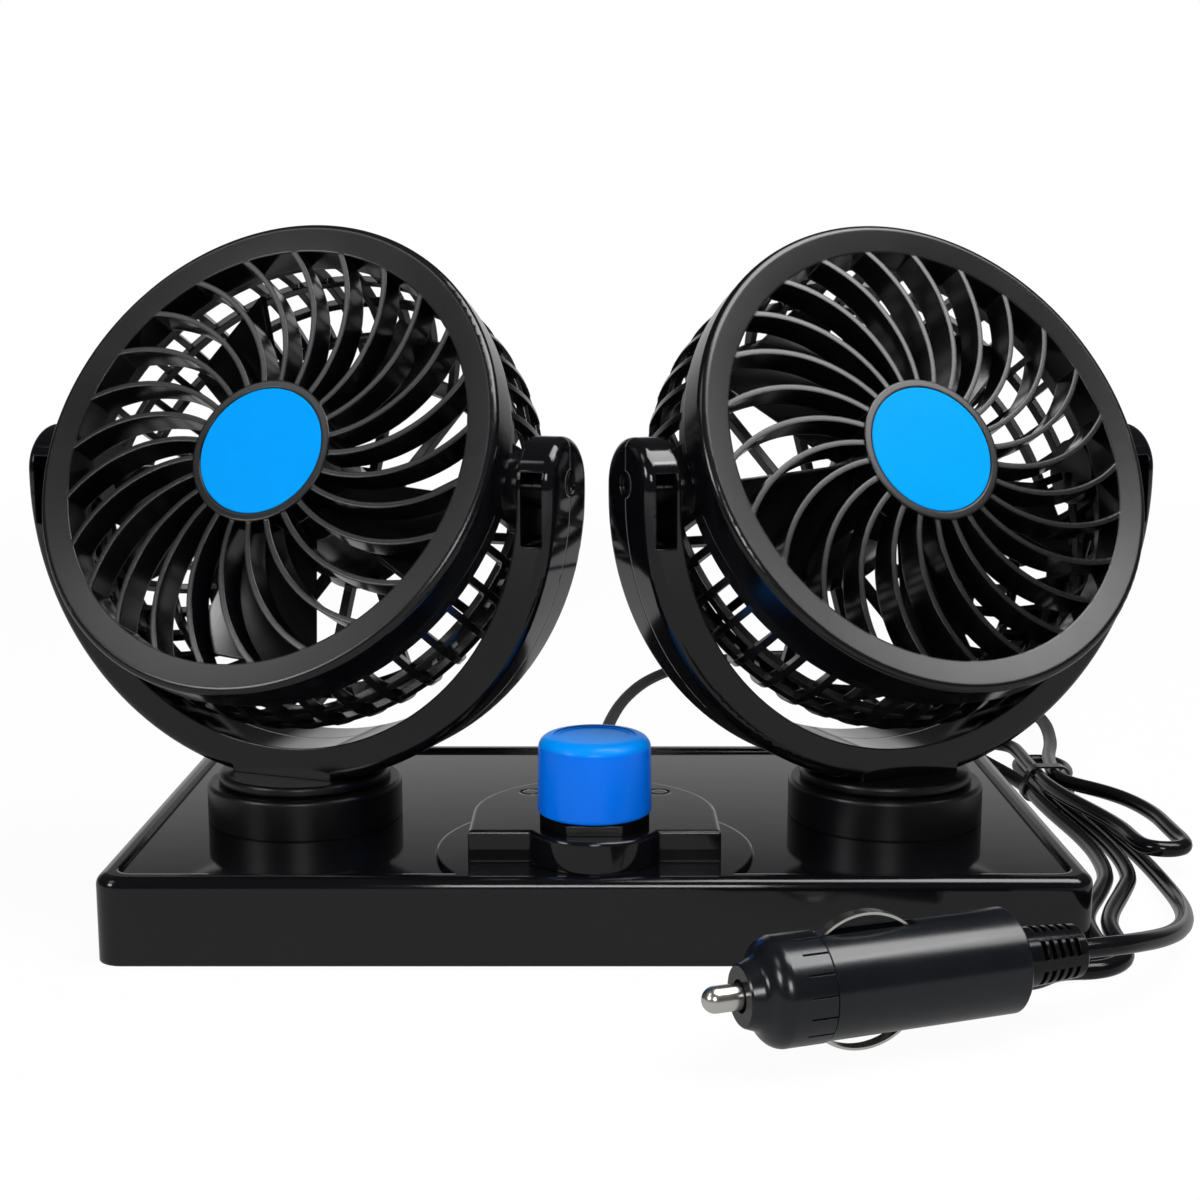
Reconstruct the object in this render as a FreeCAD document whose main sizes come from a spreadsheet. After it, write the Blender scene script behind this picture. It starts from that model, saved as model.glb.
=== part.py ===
import FreeCAD, Part
import math
import os

import Sketcher
from FreeCAD import Vector

# Twin head car fan, in millimetres. The origin is the middle of the base's underside, +Z is up and
# the front faces -Y. Each head stands in a yoke on its own turntable, in the pose of the photograph.

# Driving sizes
SIZES = {
    # Base
    "base_width": 215.0,
    "base_depth": 118.5,
    "base_height": 19.3,
    "base_corner": 6.0,
    "base_edge": 2.4,
    "base_wall": 2.2,
    "rim_width": 4.2,
    "panel_drop": 1.0,
    "platform_radius": 35.5,
    "platform_inset": 23.2,
    "plate_thick": 2.0,
    "pad_thick": 1.0,
    "pad_width": 76.0,
    "pad_length": 82.0,
    "boss_radius": 4.2,
    "boss_inset": 13.0,
    # Switch and knob
    "knob_inset": 18.2,
    "housing_half_width": 27.7,
    "housing_back_inset": 28.2,
    "housing_front_inset": 11.8,
    "housing_height": 7.2,
    "housing_wall": 1.8,
    "housing_edge": 0.8,
    "bulge_radius": 15.5,
    "knob_radius": 12.7,
    "knob_height": 17.2,
    "knob_clear": 2.8,
    "knob_edge": 2.6,
    "knob_dish": 0.7,
    "ring_radius": 2.6,
    "ring_line": 0.6,
    "ring_depth": 0.3,
    "ring_offset_x": 15.1,
    "ring_offset_y": 25.3,
    "shaft_radius": 3.0,
    "bush_radius": 4.5,
    "switch_width": 22.0,
    "switch_height": 11.0,
    # Turntables
    "swivel_spacing": 140.0,
    "swivel_y": -6.0,
    "collar_radius": 23.2,
    "collar_height": 9.3,
    "collar_spigot": 12.5,
    "disc_radius": 20.5,
    "disc_thick": 2.6,
    "disc_groove": 1.0,
    "spigot_radius": 9.0,
    "lead_bore": 4.0,
    "swivel_nut_radius": 14.0,
    "swivel_nut_thick": 3.0,
    # Yokes
    "pivot_height": 99.5,
    "yoke_radius": 69.0,
    "yoke_wall": 8.3,
    "yoke_depth": 22.0,
    "yoke_drop": 1.5,
    "yoke_edge": 2.4,
    "arm_shoulder": 0.8,
    "window_width": 5.0,
    "window_lip": 0.8,
    "window_top": 4.5,
    "window_bottom": 11.7,
    "axle_radius": 4.2,
    "axle_reach": 5.9,
    # Rest pose
    "left_yaw": 20.5,
    "right_yaw": 23.5,
    "left_tilt": 27.0,
    "right_tilt": 28.0,
    # Heads
    "bezel_radius": 57.5,
    "bezel_front": 18.5,
    "bezel_length": 9.0,
    "bezel_face": 7.2,
    "bezel_wall": 1.8,
    "bezel_edge": 1.6,
    "vane_count": 25,
    "vane_thick": 1.3,
    "vane_depth": 7.4,
    "vane_curve": 34.0,
    "hub_radius": 17.2,
    "badge_radius": 15.4,
    "badge_thick": 1.2,
    "band_radius": 56.0,
    "band_wall": 2.6,
    "band_length": 6.0,
    "slat_count": 44,
    "slat_thick": 1.7,
    "slat_width": 2.8,
    "basket_depth": 40.0,
    "basket_mid_depth": 19.5,
    "basket_mid_radius": 56.4,
    "basket_end_radius": 44.0,
    "basket_bend": 42.0,
    "ring_bar": 2.4,
    "spoke_count": 12,
    "spoke_width": 2.2,
    "pivot_boss_radius": 8.0,
    "motor_radius": 12.2,
    "motor_length": 26.0,
    "motor_shaft_radius": 1.15,
    "impeller_hub": 13.8,
    "impeller_radius": 45.0,
    "blade_count": 5,
    "blade_root": 16.0,
    "blade_tip": 29.0,
    "blade_root_pitch": 45.0,
    "blade_tip_pitch": 25.0,
    "blade_thick": 1.6,
    # Screws
    "screw_radius": 1.3,
    "screw_head": 2.6,
    "screw_head_thick": 1.8,
    # Plug
    "plug_tail_x": 95.4,
    "plug_tail_y": -85.8,
    "plug_heading": 199.3,
    "relief_length": 15.9,
    "relief_radius": 6.2,
    "relief_tail": 5.3,
    "barrel_length": 41.2,
    "barrel_radius": 10.3,
    "barrel_bore": 8.6,
    "thread_length": 1.2,
    "nose_radius": 10.5,
    "nose_length": 8.4,
    "nose_taper": 7.0,
    "nose_mouth": 6.0,
    "tip_radius": 2.5,
    "tip_out": 7.5,
    "tip_travel": 2.5,
    "fuse_radius": 3.1,
    "fuse_length": 30.0,
    "contact_width": 2.4,
    "contact_thick": 0.5,
    "contact_span": 23.3,
    "contact_rise": 3.3,
    "contact_travel": 0.8,
    "contact_overrun": 1.8,
    # Cord
    "cord_radius": 2.0,
    "gland_length": 15.0,
    "gland_height": 9.2,
    # Fits
    "running_fit": 0.05,
    "press_gap": 0.02,
    "part_gap": 0.3,
}

doc = FreeCAD.newDocument("CarFan")
sheet = doc.addObject("Spreadsheet::Sheet", "Sizes")


class Size:
    """A number together with the sheet expression that it comes from."""

    def __init__(self, value, text):
        self.value = value
        self.text = text

    def __add__(self, other):
        other = as_size(other)
        return Size(self.value + other.value, f"({self.text} + {other.text})")

    def __sub__(self, other):
        other = as_size(other)
        return Size(self.value - other.value, f"({self.text} - {other.text})")

    def __mul__(self, other):
        other = as_size(other)
        return Size(self.value * other.value, f"({self.text} * {other.text})")

    def __truediv__(self, other):
        other = as_size(other)
        return Size(self.value / other.value, f"({self.text} / {other.text})")

    def __radd__(self, other):
        return as_size(other) + self

    def __rsub__(self, other):
        return as_size(other) - self

    def __rmul__(self, other):
        return as_size(other) * self

    def __neg__(self):
        return Size(-self.value, f"(0 - {self.text})")


def as_size(item):
    if isinstance(item, Size):
        return item
    return Size(float(item), f"({float(item)!r})")


def root(size):
    return Size(math.sqrt(size.value), f"sqrt({size.text})")


def sine(angle):
    angle = as_size(angle)
    return Size(math.sin(math.radians(angle.value)), f"sin({angle.text})")


def cosine(angle):
    angle = as_size(angle)
    return Size(math.cos(math.radians(angle.value)), f"cos({angle.text})")


def arc_cosine(ratio):
    return Size(math.degrees(math.acos(ratio.value)), f"(acos({ratio.text}) / 1 deg)")


def arc_tangent(rise, run):
    angle = math.degrees(math.atan2(rise.value, run.value))
    return Size(angle, f"(atan2({rise.text}; {run.text}) / 1 deg)")


class Sheet:
    """The driving sizes by name, each bound to its cell."""


s = Sheet()
for row, (name, value) in enumerate(SIZES.items(), start=1):
    sheet.set(f"A{row}", name)
    sheet.set(f"B{row}", str(value))
    sheet.setAlias(f"B{row}", name)
    setattr(s, name, Size(float(value), f"Sizes.{name}"))
doc.recompute()

nodes = []


# Drawing helpers

def bind(item, prop, size):
    """Ties one property of a feature to its expression."""
    item.setExpression(prop, as_size(size).text)


def frame_text(base, turns):
    """An expression for a placement: a point, then turns about axes, outermost first."""
    point = "; ".join(as_size(part).text for part in base)
    turned = " * ".join(f"rotation(vector({axis}); {as_size(angle).text})" for axis, angle in turns)
    return f"placement(vector({point}); {turned})"


X_AXIS = "1; 0; 0"
Y_AXIS = "0; 1; 0"
Z_AXIS = "0; 0; 1"
HOME = ((0, 0, 0), [(Z_AXIS, 0)])


def place(item, frame):
    item.setExpression("Placement", frame_text(*frame))


def keep(item, label, frame=HOME):
    """Names a sub-part, puts it in its frame and lists it for export."""
    item.Label = label
    place(item, frame)
    nodes.append(item)
    return item


def origin_item(body, role):
    return [item for item in body.Origin.OriginFeatures if item.Role == role][0]


def pin_point(sketch, index, point, x, y):
    """Locks one sketch point to its expressions, on an axis where the value is nought."""
    for kind, size, axis in (("DistanceX", x, -2), ("DistanceY", y, -1)):
        size = as_size(size)
        if abs(size.value) < 1e-9:
            sketch.addConstraint(Sketcher.Constraint("PointOnObject", index, point, axis))
            continue
        if size.value > 0:
            lock = Sketcher.Constraint(kind, -1, 1, index, point, size.value)
            text = size.text
        else:
            lock = Sketcher.Constraint(kind, index, point, -1, 1, -size.value)
            text = (-size).text
        sketch.setExpression(f"Constraints[{sketch.addConstraint(lock)}]", text)


def lock_radius(sketch, index, radius):
    number = sketch.addConstraint(Sketcher.Constraint("Radius", index, radius.value))
    sketch.setExpression(f"Constraints[{number}]", radius.text)


def arc_between(start, end, bend):
    """The short arc from start to end, to the left of the way when bend is positive."""
    chord = end - start
    middle = (start + end) * 0.5
    rise = math.sqrt(max(bend * bend - chord.Length ** 2 / 4, 0.0))
    side = Vector(-chord.y, chord.x, 0).normalize() * math.copysign(rise, bend)
    centre = middle + side
    first = math.atan2(start.y - centre.y, start.x - centre.x)
    last = math.atan2(end.y - centre.y, end.x - centre.x)
    circle = Part.Circle(centre, Vector(0, 0, 1), abs(bend))
    if bend > 0:
        return Part.ArcOfCircle(circle, first, last)
    return Part.ArcOfCircle(circle, last, first)


def add_outline(sketch, corners):
    """A closed outline. A corner is (x, y), or (x, y, bend) where an arc leads to the next one."""
    ends = []
    points = [Vector(as_size(c[0]).value, as_size(c[1]).value, 0) for c in corners]
    for number, corner in enumerate(corners):
        start = points[number]
        end = points[(number + 1) % len(points)]
        if len(corner) == 3:
            bend = as_size(corner[2])
            index = sketch.addGeometry(arc_between(start, end, bend.value), False)
            lock_radius(sketch, index, bend if bend.value > 0 else -bend)
            ends.append((index, 1, 2) if bend.value > 0 else (index, 2, 1))
        else:
            index = sketch.addGeometry(Part.LineSegment(start, end), False)
            ends.append((index, 1, 2))
    for number, (index, first, last) in enumerate(ends):
        after, after_first, _ = ends[(number + 1) % len(ends)]
        sketch.addConstraint(Sketcher.Constraint("Coincident", index, last, after, after_first))
        pin_point(sketch, index, first, corners[number][0], corners[number][1])


def add_circle(sketch, x, y, radius):
    x, y, radius = as_size(x), as_size(y), as_size(radius)
    circle = Part.Circle(Vector(x.value, y.value, 0), Vector(0, 0, 1), radius.value)
    index = sketch.addGeometry(circle, False)
    pin_point(sketch, index, 3, x, y)
    lock_radius(sketch, index, radius)


def draw(body, name, plane, outlines=(), circles=(), lift=0, turn=0, shift=0):
    """A sketch on one of the body's own planes, lifted along its normal and turned in itself."""
    sketch = body.newObject("Sketcher::SketchObject", name)
    sketch.AttachmentSupport = [(origin_item(body, plane), "")]
    sketch.MapMode = "FlatFace"
    offset = frame_text((0, shift, lift), [(Z_AXIS, turn)])
    sketch.setExpression("AttachmentOffset", offset)
    for corners in outlines:
        add_outline(sketch, corners)
    for x, y, radius in circles:
        add_circle(sketch, x, y, radius)
    return sketch


def new_body(label, frame=HOME):
    return keep(doc.addObject("PartDesign::Body", label), label, frame)


def pad(body, sketch, length, both=False, back=False):
    feature = body.newObject("PartDesign::Pad", "Pad")
    feature.Profile = sketch
    feature.Midplane = both
    feature.Reversed = back
    bind(feature, "Length", length)
    return feature


def pocket(body, sketch, length, both=False, back=False):
    feature = body.newObject("PartDesign::Pocket", "Pocket")
    feature.Profile = sketch
    feature.Midplane = both
    feature.Reversed = back
    bind(feature, "Length", length)
    return feature


def revolve(body, sketch):
    feature = body.newObject("PartDesign::Revolution", "Revolution")
    feature.Profile = sketch
    feature.ReferenceAxis = (sketch, ["V_Axis"])
    feature.Angle = 360
    return feature


def ring_pattern(body, feature, count):
    pattern = body.newObject("PartDesign::PolarPattern", "PolarPattern")
    pattern.Originals = [feature]
    pattern.Axis = (origin_item(body, "Z_Axis"), [""])
    pattern.Angle = 360
    bind(pattern, "Occurrences", count)
    body.Tip = pattern
    return pattern


def round_edges(body, feature, radius, wanted):
    """Rounds the edges of a feature that the test picks by their middle point."""
    doc.recompute()
    names = []
    for number, edge in enumerate(feature.Shape.Edges, start=1):
        middle = edge.valueAt((edge.FirstParameter + edge.LastParameter) / 2)
        if wanted(edge, middle):
            names.append(f"Edge{number}")
    fillet = body.newObject("PartDesign::Fillet", "Fillet")
    fillet.Base = (feature, names)
    bind(fillet, "Radius", radius)
    return fillet


def turned(label, frame, corners):
    """A body of revolution about its own Z, from an outline of radius and height."""
    body = new_body(label, frame)
    revolve(body, draw(body, "Profile", "XZ_Plane", [corners]))
    return body


def rounded_box(half_x, half_y, corner):
    """Corners of a rectangle about the origin with round corners, anticlockwise."""
    x, y, r = as_size(half_x), as_size(half_y), as_size(corner)
    return [
        (-x + r, -y), (x - r, -y, r), (x, -y + r), (x, y - r, r),
        (x - r, y), (-x + r, y, r), (-x, y - r), (-x, -y + r, r),
    ]


def rod(radius, length, base, axis=Z_AXIS, angle=0):
    """A plain cylinder inside a group."""
    cylinder = doc.addObject("Part::Cylinder", "Rod")
    bind(cylinder, "Radius", radius)
    bind(cylinder, "Height", length)
    place(cylinder, (base, [(axis, angle)]))
    return cylinder


def block(sizes, base):
    box = doc.addObject("Part::Box", "Block")
    for prop, size in zip(("Length", "Width", "Height"), sizes):
        bind(box, prop, size)
    place(box, (base, [(Z_AXIS, 0)]))
    return box


def fuse(items):
    joined = doc.addObject("Part::MultiFuse", "Fusion")
    joined.Shapes = items
    return joined


def cut(base, tool):
    result = doc.addObject("Part::Cut", "Cut")
    result.Base = base
    result.Tool = tool
    return result


def group(label, items, frame=HOME):
    """Like pieces that are separate solids in one node."""
    compound = doc.addObject("Part::Compound", label)
    compound.Links = items
    return keep(compound, label, frame)


def screw(radius, head, head_thick, length, base, axis=Z_AXIS, angle=0):
    """A pan head screw: its head starts at the base point and its shank runs on along the axis."""
    shank = rod(radius, length + head_thick, (0, 0, 0))
    cap = rod(head, head_thick, (0, 0, 0))
    item = fuse([shank, cap])
    place(item, (base, [(axis, angle)]))
    return item


# Heights and places that several pieces share
half_width = s.base_width / 2
half_depth = s.base_depth / 2
front_y = -half_depth
panel_z = s.base_height - s.panel_drop
ceiling_z = panel_z - s.base_wall
plate_top = s.pad_thick + s.plate_thick
collar_top = panel_z + s.collar_height
disc_bottom = collar_top + s.running_fit * 2
disc_top = disc_bottom + s.disc_thick
knob_y = front_y + s.knob_inset
housing_top = s.base_height + s.housing_height
knob_bottom = housing_top + s.knob_clear
boss_x = half_width - s.boss_inset
boss_y = half_depth - s.boss_inset
boss_places = [(boss_x, boss_y), (-boss_x, boss_y), (boss_x, -boss_y), (-boss_x, -boss_y)]
swivel_x = s.swivel_spacing / 2
swivel_places = [(swivel_x, s.swivel_y), (-swivel_x, s.swivel_y)]
cord_hole = s.cord_radius + s.part_gap

# Base shell: one moulding with a rim, a sunk panel and a platform at rim height for the switch
shell = new_body("base_shell")
outline = draw(shell, "Outline", "XY_Plane", [rounded_box(half_width, half_depth, s.base_corner)])
slab = pad(shell, outline, s.base_height)


def on_top_edge(edge, middle):
    return abs(middle.z - s.base_height.value) < 1e-6


slab = round_edges(shell, slab, s.base_edge, on_top_edge)
panel_half_y = half_depth - s.rim_width
panel_sketch = draw(
    shell, "Panel", "XY_Plane",
    [rounded_box(half_width - s.rim_width, panel_half_y, s.base_corner - s.rim_width / 2)],
    lift=s.base_height,
)
pocket(shell, panel_sketch, s.panel_drop)
platform_y = front_y + s.platform_inset
platform_half = root(s.platform_radius * s.platform_radius - (s.platform_inset - s.rim_width) *
                     (s.platform_inset - s.rim_width))
platform_sketch = draw(shell, "Platform", "XY_Plane", [[
    (-platform_half, -panel_half_y), (platform_half, -panel_half_y, s.platform_radius),
    (s.platform_radius, platform_y, s.platform_radius),
    (0, platform_y + s.platform_radius, s.platform_radius),
    (-s.platform_radius, platform_y, s.platform_radius),
]], lift=panel_z)
pad(shell, platform_sketch, s.panel_drop)
cavity = draw(shell, "Cavity", "XY_Plane", [rounded_box(
    half_width - s.base_wall, half_depth - s.base_wall, s.base_corner - s.base_wall)])
pocket(shell, cavity, ceiling_z, back=True)
bosses = draw(shell, "Bosses", "XY_Plane", circles=[(x, y, s.boss_radius) for x, y in boss_places],
              lift=plate_top)
pad(shell, bosses, ceiling_z - plate_top + s.base_wall / 2)
pilots = draw(shell, "Pilots", "XY_Plane",
              circles=[(x, y, s.screw_radius + s.press_gap) for x, y in boss_places], lift=plate_top)
pocket(shell, pilots, ceiling_z - plate_top, back=True)
sockets = draw(
    shell, "Sockets", "XY_Plane",
    circles=[(x, y, s.collar_spigot + s.running_fit) for x, y in swivel_places]
    + [(0, knob_y, s.bush_radius + s.running_fit)], lift=s.base_height)
pocket(shell, sockets, s.base_height - ceiling_z + s.base_wall)
gland_hole = draw(shell, "GlandHole", "XZ_Plane",
                  circles=[(0, s.gland_height, cord_hole + s.base_wall)], lift=-half_depth)
pocket(shell, gland_hole, s.base_wall * 2, both=True)

# Bottom plate: a flat cover set into the shell, above the foam pads
plate = new_body("bottom_plate")
plate_sketch = draw(plate, "Outline", "XY_Plane", [rounded_box(
    half_width - s.base_wall - s.part_gap, half_depth - s.base_wall - s.part_gap,
    s.base_corner - s.base_wall - s.part_gap)],
    circles=[(x, y, s.screw_radius + s.part_gap) for x, y in boss_places], lift=s.pad_thick)
pad(plate, plate_sketch, s.plate_thick)
counterbores = draw(plate, "Counterbores", "XY_Plane",
                    circles=[(x, y, s.screw_head + s.part_gap) for x, y in boss_places], lift=s.pad_thick)
pocket(plate, counterbores, s.plate_thick / 2, back=True)

# Screws from below, their heads sunk halfway into the plate
screw_low = s.pad_thick + s.plate_thick / 2 - s.screw_head_thick
group("base_screws", [
    screw(s.screw_radius, s.screw_head, s.screw_head_thick, ceiling_z - plate_top,
          (x, y, screw_low)) for x, y in boss_places])

# Foam tape, flush with the shell's lower edge
pad_centre = s.base_width / 4
group("adhesive_pads", [
    block((s.pad_width, s.pad_length, s.pad_thick),
          (side * pad_centre - s.pad_width / 2, -s.pad_length / 2, 0)) for side in (1, -1)])

# Switch housing: a D shaped cover with a round bulge in front of the knob
housing_back_y = front_y + s.housing_back_inset
housing_front_y = front_y + s.housing_front_inset


def housing_outline(inset):
    """The D outline, drawn in by an inset, with the bulge across its flat front."""
    half = s.housing_half_width - inset
    bulge = s.bulge_radius - inset
    flat_y = housing_front_y + inset
    reach = knob_y - flat_y
    bulge_half = root(bulge * bulge - reach * reach)
    return [
        (-half, flat_y), (-bulge_half, flat_y, bulge), (0, knob_y - bulge, bulge),
        (bulge_half, flat_y), (half, flat_y), (half, housing_back_y, half),
        (0, housing_back_y + half, half), (-half, housing_back_y),
    ]


housing = new_body("switch_housing")
housing_sketch = draw(housing, "Outline", "XY_Plane", [housing_outline(as_size(0))], lift=s.base_height)
housing_block = pad(housing, housing_sketch, s.housing_height)


def on_housing_top(edge, middle):
    return abs(middle.z - housing_top.value) < 1e-6


round_edges(housing, housing_block, s.housing_edge, on_housing_top)
hollow = draw(housing, "Hollow", "XY_Plane", [housing_outline(s.housing_wall)], lift=s.base_height)
pocket(housing, hollow, s.housing_height - s.housing_wall, back=True)
bush_hole = draw(housing, "BushHole", "XY_Plane",
                 circles=[(0, knob_y, s.bush_radius + s.running_fit)], lift=housing_top)
pocket(housing, bush_hole, s.housing_height)
for side in (1, -1):
    mark = draw(housing, "Mark", "XY_Plane", circles=[
        (side * s.ring_offset_x, knob_y + s.ring_offset_y, s.ring_radius),
        (side * s.ring_offset_x, knob_y + s.ring_offset_y, s.ring_radius - s.ring_line),
    ], lift=housing_top)
    pocket(housing, mark, s.ring_depth)

# Rotary switch: a body under the platform with a threaded bush through the housing
bush_top = knob_bottom - s.part_gap
switch_top = ceiling_z - s.part_gap
switch = cut(
    fuse([
        block((s.switch_width, s.switch_width, s.switch_height),
              (-s.switch_width / 2, knob_y - s.switch_width / 2, switch_top - s.switch_height)),
        rod(s.bush_radius, bush_top - switch_top + s.switch_height / 2,
            (0, knob_y, switch_top - s.switch_height / 2)),
    ]),
    rod(s.shaft_radius + s.running_fit, s.knob_height + s.base_height,
        (0, knob_y, switch_top - s.switch_height / 2)),
)
keep(switch, "rotary_switch")

# Nut on the bush, in the dark gap under the knob
nut_body = new_body("switch_nut")
nut_side = s.bush_radius * 1.35
nut_half = nut_side * root(as_size(3.0))
nut_sketch = draw(nut_body, "Hexagon", "XY_Plane", [[
    (nut_side, knob_y - nut_half), (nut_side * 2, knob_y), (nut_side, knob_y + nut_half),
    (-nut_side, knob_y + nut_half), (-nut_side * 2, knob_y), (-nut_side, knob_y - nut_half)]],
    circles=[(0, knob_y, s.bush_radius + s.press_gap)], lift=housing_top)
pad(nut_body, nut_sketch, s.knob_clear - s.part_gap * 2)

# Switch shaft, turned by the knob
knob_seat = knob_bottom + s.knob_height * 0.7
shaft_low = switch_top - s.switch_height / 2 + s.part_gap
group("switch_shaft", [rod(s.shaft_radius, knob_seat - shaft_low, (0, knob_y, shaft_low))])

# Knob: a blue cap with a soft top edge and a shallow dish
knob_top = s.knob_height
dish_radius = s.knob_radius - s.knob_edge * 1.3
skirt_radius = s.knob_radius - s.housing_wall
turned("speed_knob", ((0, knob_y, knob_bottom), [(Z_AXIS, 0)]), [
    (s.shaft_radius + s.press_gap, s.knob_height * 0.3), (skirt_radius, s.knob_height * 0.3),
    (skirt_radius, 0), (s.knob_radius, 0), (s.knob_radius, knob_top - s.knob_edge, s.knob_edge),
    (s.knob_radius - s.knob_edge, knob_top), (dish_radius, knob_top),
    (dish_radius - s.knob_dish, knob_top - s.knob_dish), (0, knob_top - s.knob_dish),
    (0, s.knob_height * 0.7), (s.shaft_radius + s.press_gap, s.knob_height * 0.7),
])

# Ceramic resistor for the slow speed, standing on the plate behind the switch
resistor_length = 24.0
resistor_section = 9.0
group("speed_resistor", [block((resistor_length, resistor_section, resistor_section),
                               (-resistor_length / 2, half_depth / 4, plate_top))])

# Gland: a rubber strain relief through the back wall
gland_inside = s.base_wall * 2
gland_neck = cord_hole + s.base_wall - s.running_fit
gland_flange = gland_neck + s.base_wall / 2
turned("cord_gland", ((0, half_depth, s.gland_height), [(X_AXIS, -90)]), [
    (s.cord_radius, -gland_inside), (gland_flange, -gland_inside),
    (gland_flange, -s.base_wall - s.running_fit), (gland_neck, -s.base_wall - s.running_fit),
    (gland_neck, s.running_fit), (gland_flange, s.running_fit), (gland_flange, s.base_wall),
    (s.cord_radius + s.base_wall / 2, s.gland_length), (s.cord_radius, s.gland_length),
])


# Tubes along straight runs and tangent arcs

def tube(path_edges, radius, label):
    """A round tube along joined edges, two half round faces to an edge, with its volume tested."""
    first = path_edges[0]
    start = first.valueAt(first.FirstParameter)
    heading = first.tangentAt(first.FirstParameter)
    halves = [Part.makeCircle(radius, start, heading, low, low + 180) for low in (0, 180)]
    faces = [Part.Face(Part.Wire(halves))]
    length = 0.0
    for edge in path_edges:
        length += edge.Length
        if edge.Curve.TypeId == "Part::GeomLine":
            run = edge.valueAt(edge.LastParameter) - edge.valueAt(edge.FirstParameter)
            faces += [half.extrude(run) for half in halves]
            halves = [half.translated(run) for half in halves]
        else:
            centre, axis = edge.Curve.Center, edge.Curve.Axis
            turn = math.degrees(edge.LastParameter - edge.FirstParameter)
            faces += [half.revolve(centre, axis, turn) for half in halves]
            halves = [half.rotated(centre, axis, turn) for half in halves]
    faces.append(Part.Face(Part.Wire(halves)))
    shell = Part.Shell(faces)
    shell.sewShape()
    solid = Part.Solid(shell)
    if solid.Volume < 0:
        solid.reverse()
    wanted = math.pi * radius * radius * length
    print(f"{label}: length {length:.1f}, volume {solid.Volume / wanted:.4f} of section by length")
    return solid


def route_edges(points, label, share=0.45):
    """Runs between the points, with an arc at each that is as large as its runs allow."""
    points = [Vector(*point) for point in points]
    edges = []
    radii = []
    at = points[0]
    for before, corner, after in zip(points, points[1:], points[2:]):
        run_in = corner - before
        run_out = after - corner
        way_in = Vector(run_in).normalize()
        way_out = Vector(run_out).normalize()
        half_turn = way_in.getAngle(way_out) / 2
        setback = share * min(run_in.Length, run_out.Length)
        radii.append(setback / math.tan(half_turn))
        start = corner - way_in * setback
        end = corner + way_out * setback
        inward = (way_out - way_in).normalize()
        bow = radii[-1] * (1 / math.cos(half_turn) - 1)
        if (start - at).Length > 1e-6:
            edges.append(Part.LineSegment(at, start).toShape())
        edges.append(Part.Arc(start, corner + inward * bow, end).toShape())
        at = end
    edges.append(Part.LineSegment(at, points[-1]).toShape())
    print(label, "bend radii", " ".join(f"{radius:.1f}" for radius in radii))
    return edges


def shaped(label, shape, frame=HOME):
    """A sub-part whose shape is swept or lofted outright."""
    item = doc.addObject("Part::Feature", label)
    item.Shape = shape
    return keep(item, label, frame)


# Leads in the base: from the gland to the switch, and from the switch to each turntable
lead_radius = 1.0
lead_z = (plate_top + ceiling_z).value / 2
switch_back = (knob_y + s.switch_width / 2 + s.part_gap).value
lead_side = (s.switch_width / 2 + s.part_gap).value
gland_in_y = (half_depth - gland_inside - s.part_gap).value
lead_shapes = [tube(route_edges([
    (0, gland_in_y, s.gland_height.value), (4, gland_in_y - 14, lead_z), (18, gland_in_y - 26, lead_z),
    (22, switch_back + 22, lead_z), (10, switch_back + 10, lead_z), (7, switch_back, lead_z),
], "supply lead"), lead_radius, "supply lead")]
for side in (1, -1):
    end_x = side * (swivel_x - s.swivel_nut_radius - s.part_gap).value
    lead_shapes.append(tube(route_edges([
        (side * lead_side, knob_y.value, lead_z), (side * 24, knob_y.value + 3, lead_z),
        (side * 38, s.swivel_y.value - 14, lead_z), (end_x, s.swivel_y.value, lead_z),
    ], "head lead"), lead_radius, "head lead"))
shaped("base_wiring", Part.makeCompound(lead_shapes))

# Heads: frames of the two sides at rest
pivot = {}
for side, sign in (("left", -1), ("right", 1)):
    yaw = sign * getattr(s, f"{side}_yaw")
    tilt = getattr(s, f"{side}_tilt")
    foot = (sign * swivel_x, s.swivel_y, 0)
    centre = (sign * swivel_x, s.swivel_y, s.pivot_height)
    pivot[side] = (
        (foot, [(Z_AXIS, yaw)]),
        (centre, [(Z_AXIS, yaw), (X_AXIS, 90)]),
        (centre, [(Z_AXIS, yaw), (X_AXIS, 90 - tilt)]),
    )

# Distances along the head's axis, measured forward from the tilt axis
bezel_rear = s.bezel_front - s.bezel_length
bezel_inner = s.bezel_radius - s.bezel_face
band_rear = bezel_rear - s.band_length
basket_mid = band_rear - s.basket_mid_depth
basket_rear = band_rear - s.basket_depth + s.ring_bar
motor_rear = basket_rear
motor_front = motor_rear + s.motor_length
vane_front = s.bezel_front - s.bezel_edge / 2
vane_rear = vane_front - s.vane_depth
hub_front = s.bezel_front - s.bezel_edge / 2 + s.part_gap
yoke_inner = s.yoke_radius - s.yoke_wall
boss_face = yoke_inner - s.bezel_wall + s.part_gap
boss_inside = s.band_radius - s.band_wall - s.bezel_wall
axle_end = yoke_inner + s.axle_reach
yoke_foot_y = disc_top - s.pivot_height
impeller_front = vane_rear - s.bezel_wall
impeller_rear = motor_front + s.bezel_wall


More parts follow.
